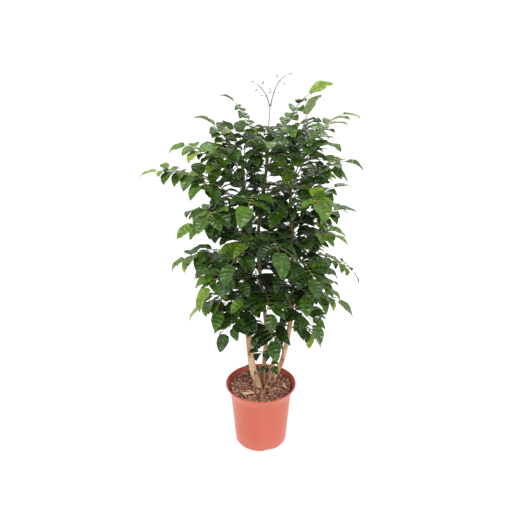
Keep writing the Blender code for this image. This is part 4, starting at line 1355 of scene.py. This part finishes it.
# %% Model three leaflets
ROWS = 10
COLUMNS = 6
ALONG = (0.0, 0.06, 0.155, 0.265, 0.375, 0.490, 0.605, 0.715, 0.815, 0.905, 1.0)
HALF_WIDTH = (0.06, 0.60, 0.90, 1.0, 0.985, 0.90, 0.75, 0.55, 0.32, 0.12, 0.012)
VEIN_LEAN = (0.0, 0.035, 0.078, 0.105)
VEIN_DEPTH = 0.013
EDGE_RISE = 0.004
BLADE_SHARE = 0.0075  # thickness of a blade as a share of its length


def model_leaflet(name, wave, cup, teeth):
    start_fresh()
    bpy.ops.mesh.primitive_grid_add(x_subdivisions=COLUMNS, y_subdivisions=ROWS, size=2, location=(0, 0, 0))
    leaf = bpy.context.object
    leaf.name = name
    bpy.ops.object.mode_set(mode="EDIT")
    step = COLUMNS + 1
    for row, (along, half) in enumerate(zip(ALONG, HALF_WIDTH)):
        pick(leaf, lambda v: v.index // step == row)
        start = -1 + 2 * row / ROWS
        half *= 1 + (teeth if row % 2 else -teeth)
        bpy.ops.transform.resize(value=(half, 1, 1), center_override=(0, start, 0))
        bpy.ops.transform.translate(value=(0, along - start, 0))
    for ring in (1, 2, 3):
        for row in range(2, ROWS):
            pick(leaf, lambda v: abs(v.index % step - 3) == ring and v.index // step == row)
            lean = VEIN_LEAN[ring] * min(1.0, (row - 1) / 2) * (0.5 if row == ROWS - 1 else 1.0)
            bpy.ops.transform.translate(value=(0, lean, cup * (ring / 3) ** 2))
        for odd, lift in ((1, -VEIN_DEPTH), (0, VEIN_DEPTH if ring < 3 else EDGE_RISE)):
            pick(leaf, lambda v: abs(v.index % step - 3) == ring
                 and v.index // step % 2 == odd and 0 < v.index // step < ROWS)
            bpy.ops.transform.translate(value=(0, 0, lift))
    for side in (0, COLUMNS):
        for row in range(1, ROWS - 1):
            pick(leaf, lambda v: v.index == row * step + side)
            lift = wave * math.sin(row * 1.25 + (0.0 if side else 2.1))
            bpy.ops.transform.translate(value=(0, 0, lift))
    bpy.ops.object.mode_set(mode="OBJECT")
    return leaf


LEAVES = [
    model_leaflet("leaflet_flat", 0.012, 0.00, 0.015),
    model_leaflet("leaflet_waved", 0.030, 0.01, 0.030),
    model_leaflet("leaflet_cupped", 0.018, 0.05, 0.020),
]
print("faces of one leaflet before its thickness:", len(LEAVES[0].data.polygons))

# %% [markdown]
# ### Leaf finishes
# An old leaflet is dark green and a young one lime, so each carries a tone from 0 to 1 that the finish
# turns into a colour. The tone also holds painted shade, darker deep in the crown, and painted light,
# paler at its outside. The map of the grid gives the veins: a pale line in the middle and five sunken
# pairs. The upper face is waxy and glossy. The lower face is paler, greyer and dull, with raised veins.

# %% Upper and lower leaf finish
VEIN_PAIRS = 5


def leaf_finish(name, shades, vein_colour, vein_share, roughness, relief, specular):
    leaf = Finish(name, Specular_IOR_Level=specular)
    patch = leaf.spread(leaf.mottle(75, 4), 0.3, 0.7, -0.13, 0.13)
    where = leaf.add("SeparateXYZ", {0: leaf.add("TexCoord", {}).outputs["UV"]}).outputs
    across = leaf.times(leaf.maths("ABSOLUTE", leaf.maths("SUBTRACT", where["X"], 0.5)), 2.0)
    turns = leaf.times(leaf.maths("SUBTRACT", where["Y"], 0.1), 2 * math.pi * VEIN_PAIRS)
    midrib = leaf.spread(across, 0.03, 0.10, 1.0, 0.0)
    side_vein = leaf.spread(leaf.maths("COSINE", turns), 0.90, 1.0)
    side_vein = leaf.times(side_vein, leaf.spread(across, 0.65, 1.0, 1.0, 0.15))
    veins = leaf.maths("MAXIMUM", midrib, side_vein)
    swell = leaf.times(leaf.maths("COSINE", turns), -0.5)
    between = leaf.ramp(leaf.plus(leaf.tone(), patch), shades)
    leaf.colour(leaf.blend(leaf.times(veins, vein_share), between, vein_colour))
    height = leaf.plus(leaf.times(veins, relief), leaf.times(swell, abs(relief)))
    leaf.bump(leaf.plus(height, leaf.times(leaf.mottle(520, 2), 0.25)), 0.0014)
    leaf.rough(leaf.spread(leaf.mottle(48, 3), 0.3, 0.7, roughness - 0.05, roughness + 0.08))
    return leaf.made


UPPER_SHADES = (
    (0.0, (0.0075, 0.0200, 0.0030)), (0.30, (0.0165, 0.0440, 0.0050)), (0.55, (0.042, 0.108, 0.0080)),
    (0.80, (0.125, 0.235, 0.016)), (1.0, (0.300, 0.390, 0.050)))
LOWER_SHADES = (
    (0.0, (0.046, 0.075, 0.032)), (0.5, (0.095, 0.150, 0.058)), (1.0, (0.30, 0.38, 0.13)))
upper = leaf_finish("glossy upper leaf", UPPER_SHADES, (0.13, 0.22, 0.030), 0.25, 0.20, -0.7, 0.47)
lower = leaf_finish("pale lower leaf", LOWER_SHADES, (0.22, 0.31, 0.13), 0.4, 0.55, 0.8, 0.3)
for leaf in LEAVES:
    leaf.data.materials.append(upper)
    leaf.data.materials.append(lower)
    thick = leaf.modifiers.new("Thickness", "SOLIDIFY")
    thick.thickness = BLADE_SHARE
    thick.offset = -1.0
    thick.material_offset = 1
    apply_all(leaf)
print("faces of one leaflet:", len(LEAVES[0].data.polygons))

# %% [markdown]
# ## Laying the leaflets
# Each planned leaflet has a foot, a heading, a face and a length. A copy of a modelled leaflet is bent
# along that heading, with a fold, a twist and a curl of its own, so no two look alike. All copies on one
# large leaf are joined with its stalks into one piece, which stands for the solid of that leaf.

# %% Where leaves are young
YOUNG_SPOTS = (
    # x, z, reach, least tone: where the plant has its youngest leaflets
    (0.235, 1.010, 0.055, 0.86), (0.144, 1.050, 0.040, 0.84), (-0.060, 0.687, 0.030, 0.74),
    (0.190, 0.715, 0.045, 0.76), (0.073, 0.860, 0.050, 0.64), (-0.115, 0.890, 0.035, 0.80),
    (0.105, 1.020, 0.065, 0.58), (-0.055, 1.025, 0.065, 0.52), (0.046, 0.250, 0.045, 0.46),
)
FRONT = 0.06  # spots count for leaflets up to this far behind the middle


def held(value):
    return max(0.0, min(1.0, value))


def tone_of(leaflet, draw):
    """Young and pale at the top and at the tips, paler low down, painted shade deep in the crown, painted
    light at its outside.
    """
    middle = leaflet.spot(0.5, 0.0)
    height = held((middle.z - 0.72) / 0.30)
    low = held((0.64 - middle.z) / 0.16)
    # painted light and shade: leaflets far from the crown's middle are made paler, those near it darker
    outside = held((math.hypot(middle.x - CROWN_MIDDLE, 0.6 * middle.y) - 0.065) / 0.125)
    outside *= 0.56 - 0.22 * height - 0.16 * low
    tone = 0.07 + 0.34 * height + 0.22 * low + outside + draw.uniform(-0.16, 0.16)
    if draw.random() < 0.06:
        tone += 0.28
    for x, z, reach, least in YOUNG_SPOTS:
        if middle.y < FRONT and math.hypot(middle.x - x, middle.z - z) < reach:
            tone = max(tone, least + draw.uniform(-0.07, 0.07))
    return max(0.0, min(0.97, tone))


print("young spots:", len(YOUNG_SPOTS))

# %% Lay one copy
def laid(leaflet, corners, fold, twist, curl):
    """Places of a modelled leaflet's corners, bent to the planned leaflet."""
    across, along, off = corners[:, 0], np.clip(corners[:, 1], 0.0, 1.1), corners[:, 2]
    reach = leaflet.reach
    angle = BEND * along
    forward = PETIOLULE + reach * np.sin(angle) / BEND
    drop = reach * (1 - np.cos(angle)) / BEND + curl * reach * np.clip(along - 0.6, 0, 1) ** 2
    lateral = across * reach * WIDTH_OF_LENGTH / 2
    turn = twist * along
    level = lateral * np.cos(turn)
    lift = lateral * np.sin(turn) + np.abs(lateral) * fold - drop + off * reach
    base, heading = np.array(leaflet.base), np.array(leaflet.heading)
    right, normal = np.array(leaflet.right), np.array(leaflet.normal)
    return base + np.outer(forward, heading) + np.outer(level, right) + np.outer(lift, normal)


# %% Gather a frond's leaflets
MASTERS = []
for leaf in LEAVES:
    flat = np.empty(len(leaf.data.loops) * 2)
    leaf.data.uv_layers[0].data.foreach_get("uv", flat)
    sides = [face.material_index for face in leaf.data.polygons]
    MASTERS.append((corners_of(leaf.data), faces_of(leaf.data), sides, flat))


def blades(name, found, draw, slim):
    parts, slots, maps = [], [], []
    for leaflet in found:
        corners, faces, sides, flat = MASTERS[draw.choice((0, 1, 1, 2))]
        habit = (FOLD + draw.uniform(-0.06, 0.16), draw.uniform(-0.35, 0.35), draw.uniform(0.1, 0.9))
        leaflet.habit = habit
        parts.append((laid(leaflet, corners * (slim, 1, 1), *habit), faces, tone_of(leaflet, draw)))
        slots += sides
        maps.append(flat)
    made = gathered(name, parts)
    made.data.materials.append(upper)
    made.data.materials.append(lower)
    made.data.polygons.foreach_set("material_index", slots)
    made.data.uv_layers.new(name="UVMap").data.foreach_set("uv", np.concatenate(maps))
    only(made)
    bpy.ops.object.shade_smooth_by_angle(angle=math.radians(70))
    return made


# %% [markdown]
# ### Stalks
# The stalks are slim, green to brown, thicker where they leave the stem and at each joint. Every leaflet
# has a short stalk of its own that runs on under the blade as its midrib. All of them are runs of one
# curve, so a whole large leaf's stalks become one mesh at once.

# %% Runs of a frond's stalks
RACHIS = (0.00145, 0.00085)
green_stalk = Finish("green stalk", Roughness=0.5)
green_stalk.shades(green_stalk.mottle(30, 3), (0.35, (0.100, 0.150, 0.025)), (0.65, (0.29, 0.35, 0.075)))
green_stalk.bump(green_stalk.mottle(500, 2), 0.0003)


def stalk_run(stalk, joints):
    """Stations of a stalk, swollen at its foot and at the joints."""
    length = stalk.line.length
    run = []
    for stop in sorted(set(np.linspace(0.0, length, 11)) | joints):
        share = stop / length
        radius = RACHIS[0] + (RACHIS[1] - RACHIS[0]) * share
        radius *= 0.8 if stalk.kind == "side stalk" else 1.0
        if stop in joints:
            radius *= 1.25
        if stop < 0.004 and stalk.kind != "side stalk":
            radius *= 1.7
        run.append((*stalk.line.at(stop), radius))
    return run


def petiolule_run(leaflet):
    """A leaflet's own stalk and midrib, just under the blade."""
    fold, twist, curl = leaflet.habit
    line = np.array([(0.0, along, -BLADE_SHARE) for along in (0.02, 0.25, 0.5, 0.75)])
    under = laid(leaflet, line, fold, twist, curl)
    start = leaflet.stalk.line.at(leaflet.distance)
    thick = 0.00075 * min(1.0, leaflet.reach / 0.06 + 0.25)
    return [(*start, thick * 1.3), (*leaflet.base.lerp(Vector(under[0]), 0.3), thick)] + [
        (*place, thick * share) for place, share in zip(under, (0.95, 0.7, 0.5, 0.25))]


def stalks(name, frond, found):
    runs = []
    for stalk in stalks_of(frond):
        joints = {distance for distance, side, child in stalk.children if side}
        runs.append(stalk_run(stalk, joints))
    runs += [petiolule_run(leaflet) for leaflet in found]
    return tubes(name, runs, 1)


# %% Dress every large leaf
def dressed(name, frond, draw, stalk_finish, slim=1.0):
    found = leaflets_of(frond)
    leaf_piece = blades(name, found, draw, slim)
    branches = stalks(name + "_stalks", frond, found)
    branches.data.materials.append(stalk_finish)
    only(branches, leaf_piece)
    bpy.ops.object.join()
    return bpy.context.object


draw = random.Random(31)
faces = 0
for number, frond in enumerate(fronds, start=1):
    piece = dressed(f"leafy_frond_{number:02d}", frond, draw, green_stalk.made)
    hand_over(piece, "leaf", f"frond_{number:02d}")
    faces += len(piece.data.polygons)
for number, frond in enumerate(inner, start=1):
    piece = dressed(f"inner_leaf_{number:02d}", frond, draw, green_stalk.made)
    hand_over(piece, "leaf")
    faces += len(piece.data.polygons)
print("leafy pieces:", len(fronds) + len(inner), "faces:", faces)

# %% [markdown]
# ## The top twig
# Above the crown stands a thin, nearly bare fork: the stem's last growth, with a few tiny dry leaves. Its
# stalks are tubes like the others, and its leaves are small, slim copies of the modelled leaflets in a dull
# finish.

# %% Twig
dry = Finish("dry twig", Roughness=0.7)
dry.shades(dry.mottle(90, 4), (0.35, (0.075, 0.062, 0.030)), (0.65, (0.20, 0.165, 0.085)))
dry.bump(dry.mottle(700, 2), 0.0003)
twig_piece = dressed("forked_twig", twig, random.Random(3), dry.made, 0.5)
for slot in twig_piece.material_slots:
    slot.material = dry.made
hand_over(twig_piece, "twig", "top_twig")
for leaf in LEAVES:
    bpy.data.objects.remove(leaf, do_unlink=True)
print("twig faces:", len(twig_piece.data.polygons))
